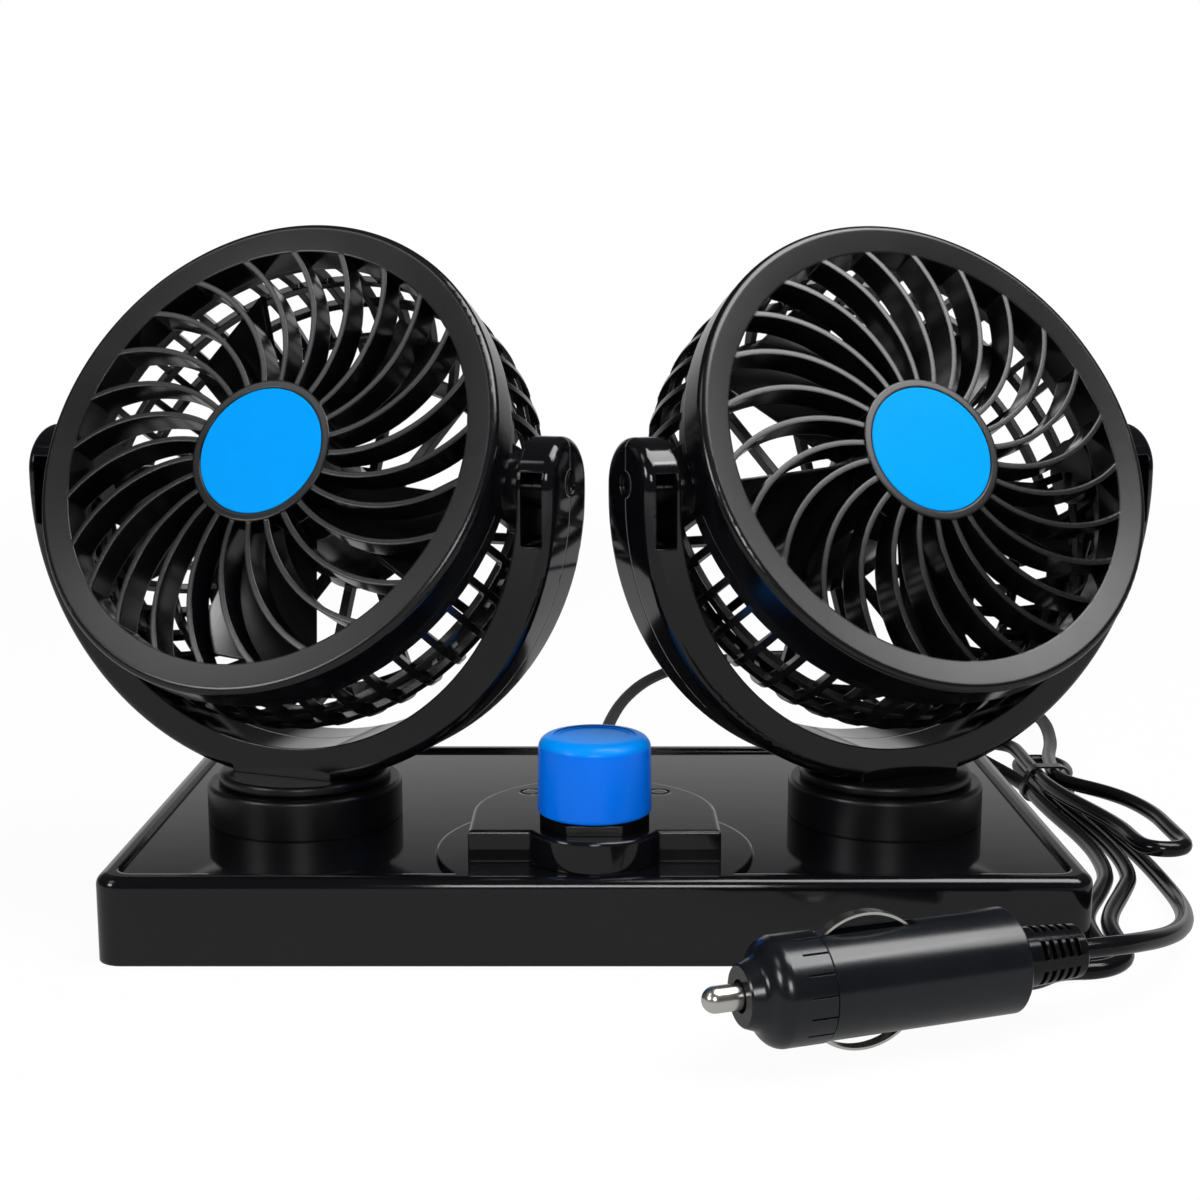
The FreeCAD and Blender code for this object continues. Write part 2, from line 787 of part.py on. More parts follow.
def swivel_parts(side, frame):
    """The turntable: a fixed collar, a disc whose hollow spigot turns in it, and a nut below."""
    edge = s.disc_groove
    turned(f"{side}_swivel_collar", frame, [
        (s.spigot_radius + s.running_fit, ceiling_z - s.base_wall),
        (s.collar_spigot, ceiling_z - s.base_wall),
        (s.collar_spigot, panel_z), (s.collar_radius, panel_z), (s.collar_radius, collar_top - edge, edge),
        (s.collar_radius - edge, collar_top), (s.spigot_radius + s.running_fit, collar_top)])
    spigot_low = ceiling_z - s.base_wall - s.running_fit - s.swivel_nut_thick
    turned(f"{side}_swivel_disc", frame, [
        (s.lead_bore, spigot_low), (s.spigot_radius, spigot_low), (s.spigot_radius, disc_bottom),
        (s.disc_radius - edge, disc_bottom), (s.disc_radius - edge, disc_bottom + edge / 2),
        (s.disc_radius, disc_bottom + edge / 2), (s.disc_radius, disc_top - edge, edge),
        (s.disc_radius - edge, disc_top), (s.lead_bore, disc_top)])
    turned(f"{side}_swivel_nut", frame, [
        (s.spigot_radius + s.press_gap, spigot_low), (s.swivel_nut_radius, spigot_low),
        (s.swivel_nut_radius, spigot_low + s.swivel_nut_thick),
        (s.spigot_radius + s.press_gap, spigot_low + s.swivel_nut_thick)])


def yoke_outline():
    """A U with round bottom, flat where it stands on the disc."""
    outer, inner = s.yoke_radius, yoke_inner
    low = -s.yoke_drop
    top = s.arm_shoulder + s.yoke_depth / 2
    depth = low - yoke_foot_y
    flat = root(outer * outer - depth * depth)
    return [
        (-outer, low, outer), (-flat, yoke_foot_y), (flat, yoke_foot_y, outer), (outer, low),
        (outer, top), (inner, top), (inner, low, -inner), (0, low - inner, -inner),
        (-inner, low), (-inner, top), (-outer, top),
    ]


yoke_screw_angles = (-35, -68, -112, -145)
yoke_screw_ring = s.yoke_radius - s.yoke_wall / 2
yoke_screw_places = [(yoke_screw_ring * cosine(angle), yoke_screw_ring * sine(angle) - s.yoke_drop)
                     for angle in yoke_screw_angles]


def yoke_half(label, frame, forward):
    """Half of the yoke, split at the tilt axis: arms with round tops and a half bore for each axle."""
    body = new_body(label, frame)
    half = s.yoke_depth / 2
    face = half if forward else -half
    pad(body, draw(body, "Outline", "XY_Plane", [yoke_outline()]), half, back=not forward)
    top = s.arm_shoulder + half
    over = top + s.part_gap
    out = face + s.part_gap if forward else face - s.part_gap
    bend = -half if forward else half
    crown = draw(body, "Crown", "YZ_Plane", [[
        (s.arm_shoulder, face, bend), (top, 0), (over, 0), (over, out), (s.arm_shoulder, out)]])
    crowned = pocket(body, crown, s.yoke_radius * 3, both=True)

    def on_outer_rim(edge, middle):
        radius = math.hypot(middle.x, middle.y + s.yoke_drop.value)
        outside = abs(abs(middle.x) - s.yoke_radius.value) < 1e-3 or (
            abs(radius - s.yoke_radius.value) < 0.05 and middle.y < -s.yoke_drop.value)
        return outside and abs(middle.z) > half.value * 0.2 and edge.Length > 2

    rounded = round_edges(body, crowned, s.yoke_edge, on_outer_rim)
    bore = draw(body, "Bore", "YZ_Plane", circles=[(0, 0, s.axle_radius + s.running_fit)])
    pocket(body, bore, (axle_end + s.part_gap) * 2, both=True)
    for sign in (1, -1):
        dimple = draw(body, "Dimple", "YZ_Plane", circles=[(s.yoke_drop, 0, s.axle_radius * 0.7)],
                      lift=sign * s.yoke_radius)
        pocket(body, dimple, s.window_lip, back=sign < 0)
    pilot = s.screw_radius + (s.press_gap if forward else s.part_gap)
    holes = draw(body, "Holes", "XY_Plane", circles=[(x, y, pilot) for x, y in yoke_screw_places])
    pocket(body, holes, half * 1.2 if not forward else half * 0.7, back=forward)
    if forward:
        near = yoke_inner + s.window_lip
        far = near + s.window_width
        for sign in (1, -1):
            window = draw(body, "Window", "XY_Plane", [[
                (sign * near, -s.window_bottom), (sign * far, -s.window_bottom),
                (sign * far, s.window_top), (sign * near, s.window_top)]], lift=face)
            pocket(body, window, half + s.part_gap)
    else:
        seats = draw(body, "Seats", "XY_Plane", circles=[
            (x, y, s.screw_head + s.part_gap) for x, y in yoke_screw_places], lift=face)
        pocket(body, seats, s.screw_head_thick + s.part_gap, back=True)
    return rounded


def yoke_parts(side, frame):
    yoke_half(f"{side}_yoke_front", frame, True)
    yoke_half(f"{side}_yoke_rear", frame, False)
    low = -s.yoke_depth / 2 + s.part_gap
    group(f"{side}_yoke_screws", [
        screw(s.screw_radius, s.screw_head, s.screw_head_thick, s.yoke_depth * 0.7, (x, y, low))
        for x, y in yoke_screw_places], frame)


def vane_corner(bend, reach):
    """Where a vane edge of one bend radius meets a circle round the head's axis."""
    start = s.hub_radius - s.bezel_wall / 2
    offset = root(start * start + s.vane_curve * s.vane_curve)
    ratio = (offset * offset + reach * reach - bend * bend) / (2 * offset * reach)
    angle = arc_tangent(s.vane_curve, start) - arc_cosine(ratio)
    return reach * cosine(angle), reach * sine(angle)


def front_guard(label, frame):
    """Bezel, hub and curved vanes in one moulding."""
    body = new_body(label, frame)
    lip = s.bezel_front - s.bezel_edge
    revolve(body, draw(body, "Bezel", "XZ_Plane", [[
        (bezel_inner, bezel_rear), (bezel_inner + s.bezel_wall, bezel_rear),
        (bezel_inner + s.bezel_wall, lip - s.bezel_wall), (s.bezel_radius - s.bezel_wall, lip - s.bezel_wall),
        (s.bezel_radius - s.bezel_wall, bezel_rear), (s.bezel_radius, bezel_rear),
        (s.bezel_radius, lip, s.bezel_edge), (s.bezel_radius - s.bezel_edge, s.bezel_front),
        (bezel_inner, s.bezel_front - s.bezel_edge / 2)]]))
    vane_start = s.hub_radius - s.bezel_wall / 2
    reach = bezel_inner + s.bezel_wall / 2
    thin = s.vane_thick / 2
    near, far = s.vane_curve - thin, s.vane_curve + thin
    vane = pad(body, draw(body, "Vane", "XY_Plane", [[
        (vane_start, -thin, far), (*vane_corner(far, reach),), (*vane_corner(near, reach), -near),
        (vane_start, thin)]], lift=vane_rear), s.vane_depth)
    ring_pattern(body, vane, s.vane_count)
    floor = hub_front - s.badge_thick
    revolve(body, draw(body, "Hub", "XZ_Plane", [[
        (0, floor - s.bezel_wall), (s.badge_radius - s.bezel_wall, floor - s.bezel_wall),
        (s.badge_radius - s.bezel_wall, vane_rear), (s.hub_radius, vane_rear), (s.hub_radius, hub_front),
        (s.badge_radius, hub_front), (s.badge_radius, floor), (0, floor)]]))


def rear_guard(label, frame):
    """Band, bowed slats, rings, spokes and motor plate in one moulding, with a boss for each axle."""
    body = new_body(label, frame)
    wall = s.band_wall
    plug_out = s.bezel_radius - s.bezel_wall - s.press_gap
    plug_in = bezel_inner + s.bezel_wall + s.press_gap
    band_in = s.band_radius - wall
    revolve(body, draw(body, "Band", "XZ_Plane", [[
        (band_in, band_rear), (s.band_radius, band_rear), (s.band_radius, bezel_rear), (plug_out, bezel_rear),
        (plug_out, bezel_rear + wall), (plug_in, bezel_rear + wall), (plug_in, bezel_rear)]]))
    mid_in = s.basket_mid_radius - s.slat_width
    end_in = s.basket_end_radius - s.slat_width
    bend = s.basket_bend
    slat = pad(body, draw(body, "Slat", "XZ_Plane", [[
        (s.band_radius, band_rear + wall / 2), (band_in, band_rear + wall / 2, -bend),
        (mid_in, basket_mid, -bend), (end_in, basket_rear), (s.basket_end_radius, basket_rear, bend),
        (s.basket_mid_radius, basket_mid, bend)]]), s.slat_thick, both=True)
    ring_pattern(body, slat, s.slat_count)
    half_bar = s.ring_bar / 2
    for radius, level in (
            ((s.band_radius + s.basket_mid_radius) / 2 + half_bar / 2, (band_rear + basket_mid) / 2),
            (s.basket_mid_radius - s.part_gap, basket_mid),
            ((s.basket_mid_radius + s.basket_end_radius) / 2 + half_bar / 2, (basket_mid + basket_rear) / 2)):
        revolve(body, draw(body, "Ring", "XZ_Plane", [[
            (radius - s.slat_width * 0.8, level - half_bar), (radius - half_bar / 2, level - half_bar),
            (radius, level), (radius - half_bar / 2, level + half_bar),
            (radius - s.slat_width * 0.8, level + half_bar)]]))
    end_low = basket_rear - s.ring_bar
    revolve(body, draw(body, "EndRing", "XZ_Plane", [[
        (end_in - half_bar, end_low), (s.basket_end_radius - half_bar, end_low),
        (s.basket_end_radius, basket_rear), (end_in - half_bar, basket_rear)]]))
    revolve(body, draw(body, "MotorPlate", "XZ_Plane", [[
        (0, end_low), (s.motor_radius + wall, end_low), (s.motor_radius + wall, motor_rear + s.band_length),
        (s.motor_radius + s.running_fit, motor_rear + s.band_length),
        (s.motor_radius + s.running_fit, motor_rear), (0, motor_rear)]]))
    half_spoke = s.spoke_width / 2
    spoke = pad(body, draw(body, "Spoke", "XY_Plane", [[
        (s.motor_radius + wall / 2, -half_spoke), (end_in, -half_spoke), (end_in, half_spoke),
        (s.motor_radius + wall / 2, half_spoke)]], lift=end_low), s.ring_bar)
    ring_pattern(body, spoke, s.spoke_count)
    for sign in (1, -1):
        boss = draw(body, "Boss", "YZ_Plane", circles=[(0, 0, s.pivot_boss_radius)], lift=sign * boss_inside)
        pad(body, boss, boss_face - boss_inside, back=sign < 0)
        bore = draw(body, "BossBore", "YZ_Plane", circles=[(0, 0, s.axle_radius + s.press_gap)],
                    lift=sign * boss_face)
        pocket(body, bore, (boss_face - boss_inside) * 0.8, back=sign < 0)
    motor_holes = draw(body, "MotorHoles", "XY_Plane", circles=[
        (sign * motor_screw_offset, 0, s.screw_radius + s.part_gap) for sign in (1, -1)], lift=end_low)
    pocket(body, motor_holes, s.ring_bar * 2, back=True)


motor_screw_offset = s.motor_radius * 0.62


def head_parts(side, frame):
    front_guard(f"{side}_front_guard", frame)
    badge_low = hub_front - s.badge_thick
    badge_edge = s.badge_radius - s.running_fit * 2
    turned(f"{side}_hub_badge", frame, [
        (0, badge_low), (badge_edge, badge_low), (badge_edge, hub_front - s.part_gap),
        (badge_edge - s.part_gap, hub_front), (0, hub_front)])
    rear_guard(f"{side}_rear_guard", frame)
    axle_in = boss_inside + (boss_face - boss_inside) * 0.2
    group(f"{side}_tilt_axles", [
        rod(s.axle_radius, axle_end - axle_in, (sign * axle_in, 0, 0), Y_AXIS, sign * 90)
        for sign in (1, -1)], frame)
    washer = yoke_inner - boss_face - s.part_gap * 2.4
    group(f"{side}_tilt_washers", [
        cut(rod(s.pivot_boss_radius, washer, (sign * (boss_face + s.part_gap / 2), 0, 0), Y_AXIS, sign * 90),
            rod(s.axle_radius + s.running_fit, s.yoke_wall, (sign * boss_face, 0, 0), Y_AXIS, sign * 90))
        for sign in (1, -1)], frame)
    shaft_bore = s.motor_shaft_radius + s.running_fit
    nose = s.motor_radius / 3
    motor = turned(f"{side}_motor", frame, [
        (0, motor_rear), (s.motor_radius, motor_rear), (s.motor_radius, motor_front - s.bezel_wall),
        (s.motor_radius - s.bezel_wall, motor_front), (nose, motor_front),
        (nose, motor_front + s.bezel_wall / 2), (shaft_bore, motor_front + s.bezel_wall / 2),
        (shaft_bore, motor_rear + s.bezel_wall), (0, motor_rear + s.bezel_wall)])
    taps = draw(motor, "Taps", "XY_Plane", circles=[
        (sign * motor_screw_offset, 0, s.screw_radius + s.press_gap) for sign in (1, -1)], lift=motor_rear)
    pocket(motor, taps, s.screw_head_thick * 2, back=True)
    shaft_low = motor_rear + s.bezel_wall + s.part_gap
    group(f"{side}_motor_shaft", [
        rod(s.motor_shaft_radius, impeller_front - s.bezel_wall - shaft_low, (0, 0, shaft_low))], frame)
    end_low = basket_rear - s.ring_bar
    group(f"{side}_motor_screws", [
        screw(s.screw_radius, s.screw_head, s.screw_head_thick, s.ring_bar + s.screw_head_thick,
              (sign * motor_screw_offset, 0, end_low - s.screw_head_thick)) for sign in (1, -1)], frame)
    impeller(f"{side}_impeller", frame)
    lead_low = (motor_rear + s.band_length + s.band_wall).value
    motor_lead(f"{side}_motor_lead", frame, lead_low)


def impeller(label, frame):
    """A cup shaped hub on the shaft with broad twisted blades."""
    body = new_body(label, frame)
    cup = s.impeller_hub - s.bezel_wall
    core = s.motor_radius / 3
    bore = s.motor_shaft_radius + s.press_gap
    revolve(body, draw(body, "Cup", "XZ_Plane", [[
        (bore, impeller_rear), (core, impeller_rear), (core, impeller_front - s.bezel_wall * 2),
        (cup, impeller_front - s.bezel_wall * 2), (cup, impeller_rear), (s.impeller_hub, impeller_rear),
        (s.impeller_hub, impeller_front - s.bezel_wall, s.bezel_wall),
        (s.impeller_hub - s.bezel_wall, impeller_front), (0, impeller_front),
        (0, impeller_front - s.bezel_wall), (bore, impeller_front - s.bezel_wall)]]))
    middle = (impeller_front + impeller_rear) / 2
    sections = []
    for reach, chord, pitch in (
            (s.impeller_hub - s.bezel_wall / 2, s.blade_root, s.blade_root_pitch),
            (s.impeller_radius, s.blade_tip, s.blade_tip_pitch)):
        thin = s.blade_thick / 2
        sections.append(draw(body, "BladeSection", "XZ_Plane", [[
            (-chord / 2, -thin), (chord / 2, -thin), (chord / 2, thin), (-chord / 2, thin)]],
            lift=reach, turn=-pitch, shift=middle))
    blade = body.newObject("PartDesign::AdditiveLoft", "Blade")
    blade.Profile = sections[0]
    blade.Sections = sections[1:]
    ring_pattern(body, blade, s.blade_count)


def motor_lead(label, frame, low):
    """The pair of wires from the motor to the hollow of one axle boss, inside the basket."""
    start = (s.motor_radius + s.part_gap).value
    end = (boss_inside - s.part_gap).value
    points = [(start, 0, low), (start + 10, 0, low + 0.6), (start + 21, 0, low + 3), (end - 9, 0, low + 11),
              (end - 3, 0, -6), (end - 0.8 * lead_radius, 0, -2.5)]
    shaped(label, tube(route_edges(points, label), lead_radius, label), frame)


for side in ("left", "right"):
    foot_frame, yoke_frame, head_frame = pivot[side]
    swivel_parts(side, foot_frame)
    yoke_parts(side, yoke_frame)
    head_parts(side, head_frame)

# Plug for a car's power socket, lying on its lower contact. Its own Z runs from the cord to the tip.
contact_crest = s.barrel_radius + s.contact_rise
plug_z = contact_crest + s.running_fit * 2
plug_frame = ((s.plug_tail_x, s.plug_tail_y, plug_z), [(Z_AXIS, s.plug_heading), (Y_AXIS, 90)])
barrel_end = s.relief_length + s.barrel_length
nose_end = barrel_end + s.nose_length
nose_step = s.nose_radius - s.nose_mouth
mouth = nose_end + s.nose_taper
tip_end = mouth + s.tip_out

relief = new_body("plug_strain_relief", plug_frame)
neck = s.barrel_bore - s.running_fit
relief_edge = s.base_wall / 4
revolve(relief, draw(relief, "Sleeve", "XZ_Plane", [[
    (s.cord_radius, 0), (s.relief_tail - relief_edge, 0), (s.relief_tail, relief_edge),
    (s.relief_radius, s.relief_length), (neck, s.relief_length), (neck, s.relief_length + s.base_wall * 2),
    (s.cord_radius, s.relief_length + s.base_wall * 2)]]))
slot_pitch = s.relief_length * 0.12
slot_half = slot_pitch * 0.28
slot_floor = (s.cord_radius + s.relief_tail) / 2
slot_features = []
for row in range(5):
    level = slot_pitch * (row + 1.45)
    outline = draw(relief, "Slots", "XZ_Plane", [[
        (slot_floor, level - slot_half), (s.relief_radius + s.part_gap, level - slot_half),
        (s.relief_radius + s.part_gap, level + slot_half), (slot_floor, level + slot_half)]])
    feature = relief.newObject("PartDesign::Groove", "Slot")
    feature.Profile = outline
    feature.ReferenceAxis = (outline, ["V_Axis"])
    feature.Midplane = True
    feature.Angle = 38
    slot_features.append(feature)
slot_ring = relief.newObject("PartDesign::PolarPattern", "SlotRing")
slot_ring.Originals = slot_features
slot_ring.Axis = (origin_item(relief, "Z_Axis"), [""])
slot_ring.Angle = 360
slot_ring.Occurrences = 6
relief.Tip = slot_ring

# Barrel with a slit over each contact: the rear foot stays under its wall, the front one in the nose
contact_half = s.contact_span / 2
contact_foot = s.barrel_bore - s.contact_thick - s.contact_travel - s.part_gap
contact_height = contact_crest - contact_foot
contact_bend = (contact_height * contact_height + contact_half * contact_half) / (2 * contact_height)
contact_axis = contact_crest - contact_bend
contact_middle = barrel_end + s.contact_overrun - contact_half
bore_reach = s.barrel_bore - contact_axis
slit_reach = root(contact_bend * contact_bend - bore_reach * bore_reach) + s.part_gap
slit_half = s.contact_width / 2 + s.part_gap
barrel_edge = s.base_wall / 4
barrel = new_body("plug_body", plug_frame)
revolve(barrel, draw(barrel, "Barrel", "XZ_Plane", [[
    (s.barrel_bore, s.relief_length), (s.barrel_radius - barrel_edge, s.relief_length),
    (s.barrel_radius, s.relief_length + barrel_edge), (s.barrel_radius, barrel_end),
    (s.barrel_bore, barrel_end)]]))
slit = draw(barrel, "Slits", "YZ_Plane", [[
    (-slit_half, contact_middle - slit_reach), (slit_half, contact_middle - slit_reach),
    (slit_half, barrel_end + s.part_gap), (-slit_half, barrel_end + s.part_gap)]])
pocket(barrel, slit, s.nose_radius * 3, both=True)

# Nose: a screwed cap with a rounded shoulder, a tapered neck and fine grip lines from its rear edge
nose = new_body("plug_nose", plug_frame)
nose_chamfer = s.base_wall / 6
thread = s.barrel_bore - s.running_fit
pocket_radius = s.fuse_radius + s.part_gap
tip_hole = s.tip_radius + s.running_fit
revolve(nose, draw(nose, "Nose", "XZ_Plane", [[
    (pocket_radius, barrel_end - s.thread_length), (thread, barrel_end - s.thread_length),
    (thread, barrel_end), (s.nose_radius - nose_chamfer, barrel_end),
    (s.nose_radius, barrel_end + nose_chamfer), (s.nose_radius, nose_end, s.nose_taper * 0.6),
    (s.nose_mouth + nose_step * 0.58, nose_end + s.nose_taper * 0.43),
    (s.nose_mouth + nose_step * 0.32, nose_end + s.nose_taper * 0.54, s.nose_taper * -0.32),
    (s.nose_mouth + nose_step * 0.14, nose_end + s.nose_taper * 0.71),
    (s.nose_mouth, mouth - nose_chamfer), (s.nose_mouth - nose_chamfer, mouth),
    (tip_hole + s.part_gap * 2, mouth), (tip_hole + s.part_gap * 2, mouth - s.base_wall / 2),
    (tip_hole, mouth - s.base_wall / 2), (tip_hole, nose_end), (pocket_radius, nose_end)]]))
grip_half = s.part_gap * 0.7
grip_count = 16
rib = draw(nose, "GripGroove", "XY_Plane", [[
    (s.nose_radius - s.part_gap * 2, -grip_half), (s.nose_radius + s.part_gap, -grip_half),
    (s.nose_radius + s.part_gap, grip_half), (s.nose_radius - s.part_gap * 2, grip_half)]],
    lift=barrel_end + s.nose_length * 0.04, turn=180 / grip_count)
grip_groove = pocket(nose, rib, s.nose_length * 0.62, back=True)
ring_pattern(nose, grip_groove, grip_count)
seat_in = contact_foot - s.contact_travel - s.part_gap
seat_front = barrel_end - contact_middle
seat_out = contact_axis + root(contact_bend * contact_bend - seat_front * seat_front) + s.part_gap
for sign in (-1, 1):
    seat = draw(nose, "ContactSeat", "YZ_Plane", [[
        (-slit_half, barrel_end - s.thread_length - s.part_gap),
        (slit_half, barrel_end - s.thread_length - s.part_gap),
        (slit_half, barrel_end + s.contact_overrun + s.part_gap),
        (-slit_half, barrel_end + s.contact_overrun + s.part_gap)]], lift=sign * seat_in)
    pocket(nose, seat, seat_out - seat_in, back=sign > 0)

# Tip: a sprung pin whose collar is stopped by the nose's inner shoulder
tip_collar = s.fuse_radius - s.running_fit
collar_front = nose_end - s.running_fit
spring_rear = nose_end - s.base_wall - s.tip_travel * 2
turned("plug_tip", plug_frame, [
    (0, collar_front - s.base_wall), (tip_collar, collar_front - s.base_wall), (tip_collar, collar_front),
    (s.tip_radius, collar_front), (s.tip_radius, tip_end - s.tip_radius, s.tip_radius), (0, tip_end)])

# Fuse behind the spring
fuse_front = spring_rear - s.part_gap
turned("plug_fuse", plug_frame, [
    (0, fuse_front - s.fuse_length), (s.fuse_radius, fuse_front - s.fuse_length),
    (s.fuse_radius, fuse_front), (0, fuse_front)])


# Curved tubes from pairs of arcs

def arc_edge(start, heading, end):
    """The arc that leaves start along heading and reaches end, or a line if it is straight."""
    chord = end - start
    way = Vector(chord).normalize()
    cosine_turn = heading.dot(way)
    if cosine_turn > 1 - 1e-9:
        return Part.LineSegment(start, end).toShape()
    through = start + (heading + way) * (chord.Length / (2 * (1 + cosine_turn)))
    return Part.Arc(start, through, end).toShape()


def biarc_edges(start, heading, end, last_heading):
    """Two arcs that join two points with given headings and meet smoothly."""
    gap = end - start
    both = heading + last_heading
    slack = 2 * (1 - heading.dot(last_heading))
    along = gap.dot(both)
    if slack < 1e-9:
        reach = gap.dot(gap) / (4 * gap.dot(last_heading))
    else:
        reach = (-along + math.sqrt(along * along + slack * gap.dot(gap))) / slack
    joint = (start + heading * reach + end - last_heading * reach) * 0.5
    first = arc_edge(start, heading, joint)
    back = arc_edge(end, last_heading * -1, joint)
    middle = back.valueAt((back.FirstParameter + back.LastParameter) / 2)
    if back.Curve.TypeId == "Part::GeomLine":
        return [first, Part.LineSegment(joint, end).toShape()]
    return [first, Part.Arc(joint, middle, end).toShape()]


def smooth_edges(stations):
    """Biarcs through stations, each a point and a heading."""
    edges = []
    for (start, heading), (end, last_heading) in zip(stations, stations[1:]):
        edges += biarc_edges(start, heading, end, last_heading)
    return edges


def least_gap(edges, radius, label, spacing=1.5):
    """The narrowest gap of a wound tube to itself, measured on points along its middle line."""
    wire = Part.Wire(edges)
    points = wire.discretize(Distance=spacing)
    skip = int(8 * radius / spacing)
    least = min((points[i] - points[j]).Length
                for i in range(len(points)) for j in range(i + skip, len(points)))
    print(f"{label}: least gap to itself {least - 2 * radius:.2f}")


# Spring of the tip: a coil of steel wire between the fuse and the tip's collar
spring_turns = 4
spring_wire = 0.35
spring_radius = tip_collar.value - spring_wire * 2
spring_start = spring_rear.value
spring_room = (collar_front - s.base_wall).value - spring_start - spring_wire * 2
spring_stations = []
for quarter in range(spring_turns * 4 + 1):
    angle = quarter * math.pi / 2
    climb = spring_room / (spring_turns * 2 * math.pi)
    lift = spring_start + spring_wire + climb * angle
    point = Vector(spring_radius * math.cos(angle), spring_radius * math.sin(angle), lift)
    heading = Vector(-spring_radius * math.sin(angle), spring_radius * math.cos(angle), climb)
    spring_stations.append((point, heading.normalize()))
spring_edges = smooth_edges(spring_stations)
least_gap(spring_edges, spring_wire, "plug_tip_spring", spacing=0.3)
shaped("plug_tip_spring", tube(spring_edges, spring_wire, "plug_tip_spring"), plug_frame)

# Side contacts: bowed strips of spring steel that stand out of the barrel's slits
inner_bend = contact_bend - s.contact_thick
inner_foot = root(inner_bend * inner_bend - (contact_bend - contact_height) * (contact_bend - contact_height))
inner_crest = contact_crest - s.contact_thick
for label, way in (("plug_contact_upper", -1), ("plug_contact_lower", 1)):
    body = new_body(label, plug_frame)
    strip = draw(body, "Strip", "XZ_Plane", [[
        (way * contact_foot, contact_middle - contact_half, way * contact_bend),
        (way * contact_crest, contact_middle, way * contact_bend),
        (way * contact_foot, contact_middle + contact_half),
        (way * contact_foot, contact_middle + inner_foot, -way * inner_bend),
        (way * inner_crest, contact_middle, -way * inner_bend),
        (way * contact_foot, contact_middle - inner_foot)]])
    pad(body, strip, s.contact_width, both=True)

# Cord: out of the gland, back along the floor, round behind the right head and into the hank
cord_radius = s.cord_radius.value
floor_z = cord_radius
step = 2 * cord_radius + 0.7
tie_under = 0.8
waist_z = floor_z + tie_under
upper_z = waist_z + step
gland_end = (half_depth + s.gland_length).value
tie_x, tie_y = 129.5, 71.0
FRONT = Vector(0, -1, 0)
BACK = Vector(0, 1, 0)
LEFT = Vector(-1, 0, 0)
RIGHT = Vector(1, 0, 0)
back_points = [
    (0, gland_end, s.gland_height.value), (0.5, gland_end + 22, 7.2), (2, gland_end + 46, 3.6),
    (4, gland_end + 84, floor_z), (10, gland_end + 124, floor_z), (21, gland_end + 161, floor_z),
    (41, gland_end + 190, floor_z), (73, gland_end + 205, floor_z), (107, gland_end + 195, floor_z),
    (133, gland_end + 166, floor_z), (146.5, gland_end + 130, floor_z), (149, gland_end + 96, 3.2),
    (145.5, gland_end + 63, upper_z), (140.5, gland_end + 35, upper_z), (135, tie_y + 21, upper_z),
    (tie_x + step * 0.7, tie_y + 8, upper_z),
]
shaped("cord_back", tube(route_edges(back_points, "cord_back"), cord_radius, "cord_back"))


# Hank: a short loop on top and a long one below it, gathered at the tie

def waist(column, z, heading):
    """Where a strand passes the tie, in strand widths to the right of its middle."""
    return Vector(tie_x + column * step, tie_y, z), heading


def fold(centre, radius, way, side, z):
    """Three stations of a half turn: one side, the far end and the other side."""
    middle = Vector(*centre, z)
    return [(middle - side * radius, way), (middle + way * radius, side), (middle + side * radius, way * -1)]


corner_x = (half_width - s.base_corner).value
corner_y = (front_y + s.base_corner).value
near_turn = s.base_corner.value + cord_radius + 0.8
far_turn = near_turn + step
near_y = corner_y - near_turn
hank_start = Vector(*back_points[-1])
start_way = (hank_start - Vector(*back_points[-2])).normalize()
leave = Vector(tie_x + step + 0.4, tie_y - 9, floor_z)
leave_way = Vector(0.08, -1, 0).normalize()
hank_stations = [(hank_start, start_way), (hank_start + start_way * 2 * cord_radius, start_way)]
hank_stations += [
    (Vector(146.0, 40, upper_z), Vector(0.25, -0.968, 0)),
    *fold((141.4, 6.0), 6.0, FRONT, LEFT, upper_z),
    waist(-0.6, upper_z, BACK),
    *fold((120.0, 101.0), 7.2, BACK, LEFT, upper_z),
    waist(-1, waist_z, FRONT),
    (Vector(126.9, 6, floor_z), Vector(-0.1, -0.995, 0)),
    (Vector(116.0, -25, floor_z), Vector(-0.45, -0.893, 0)),
    (Vector(corner_x + near_turn, corner_y, floor_z), FRONT),
    (Vector(corner_x, near_y, floor_z), LEFT),
    *fold((corner_x - 15, near_y - 5.4), 5.4, LEFT, FRONT, floor_z),
    (Vector(corner_x, corner_y - far_turn, floor_z), RIGHT),
    (Vector(corner_x + far_turn, corner_y, floor_z), BACK),
    (Vector(121.8, -24.4, floor_z), Vector(0.44, 0.898, 0)),
    (Vector(132.3, 6, floor_z), Vector(0.07, 0.9975, 0)),
    waist(0, waist_z, BACK),
    *fold((135.2, 101.0), 6.6, BACK, RIGHT, floor_z),
    waist(1, waist_z, FRONT),
    (leave, leave_way),
    (leave + leave_way * 2 * cord_radius, leave_way),
]
hank_edges = smooth_edges(hank_stations)
least_gap(hank_edges, cord_radius, "cord_hank")
shaped("cord_hank", tube(hank_edges, cord_radius, "cord_hank"))

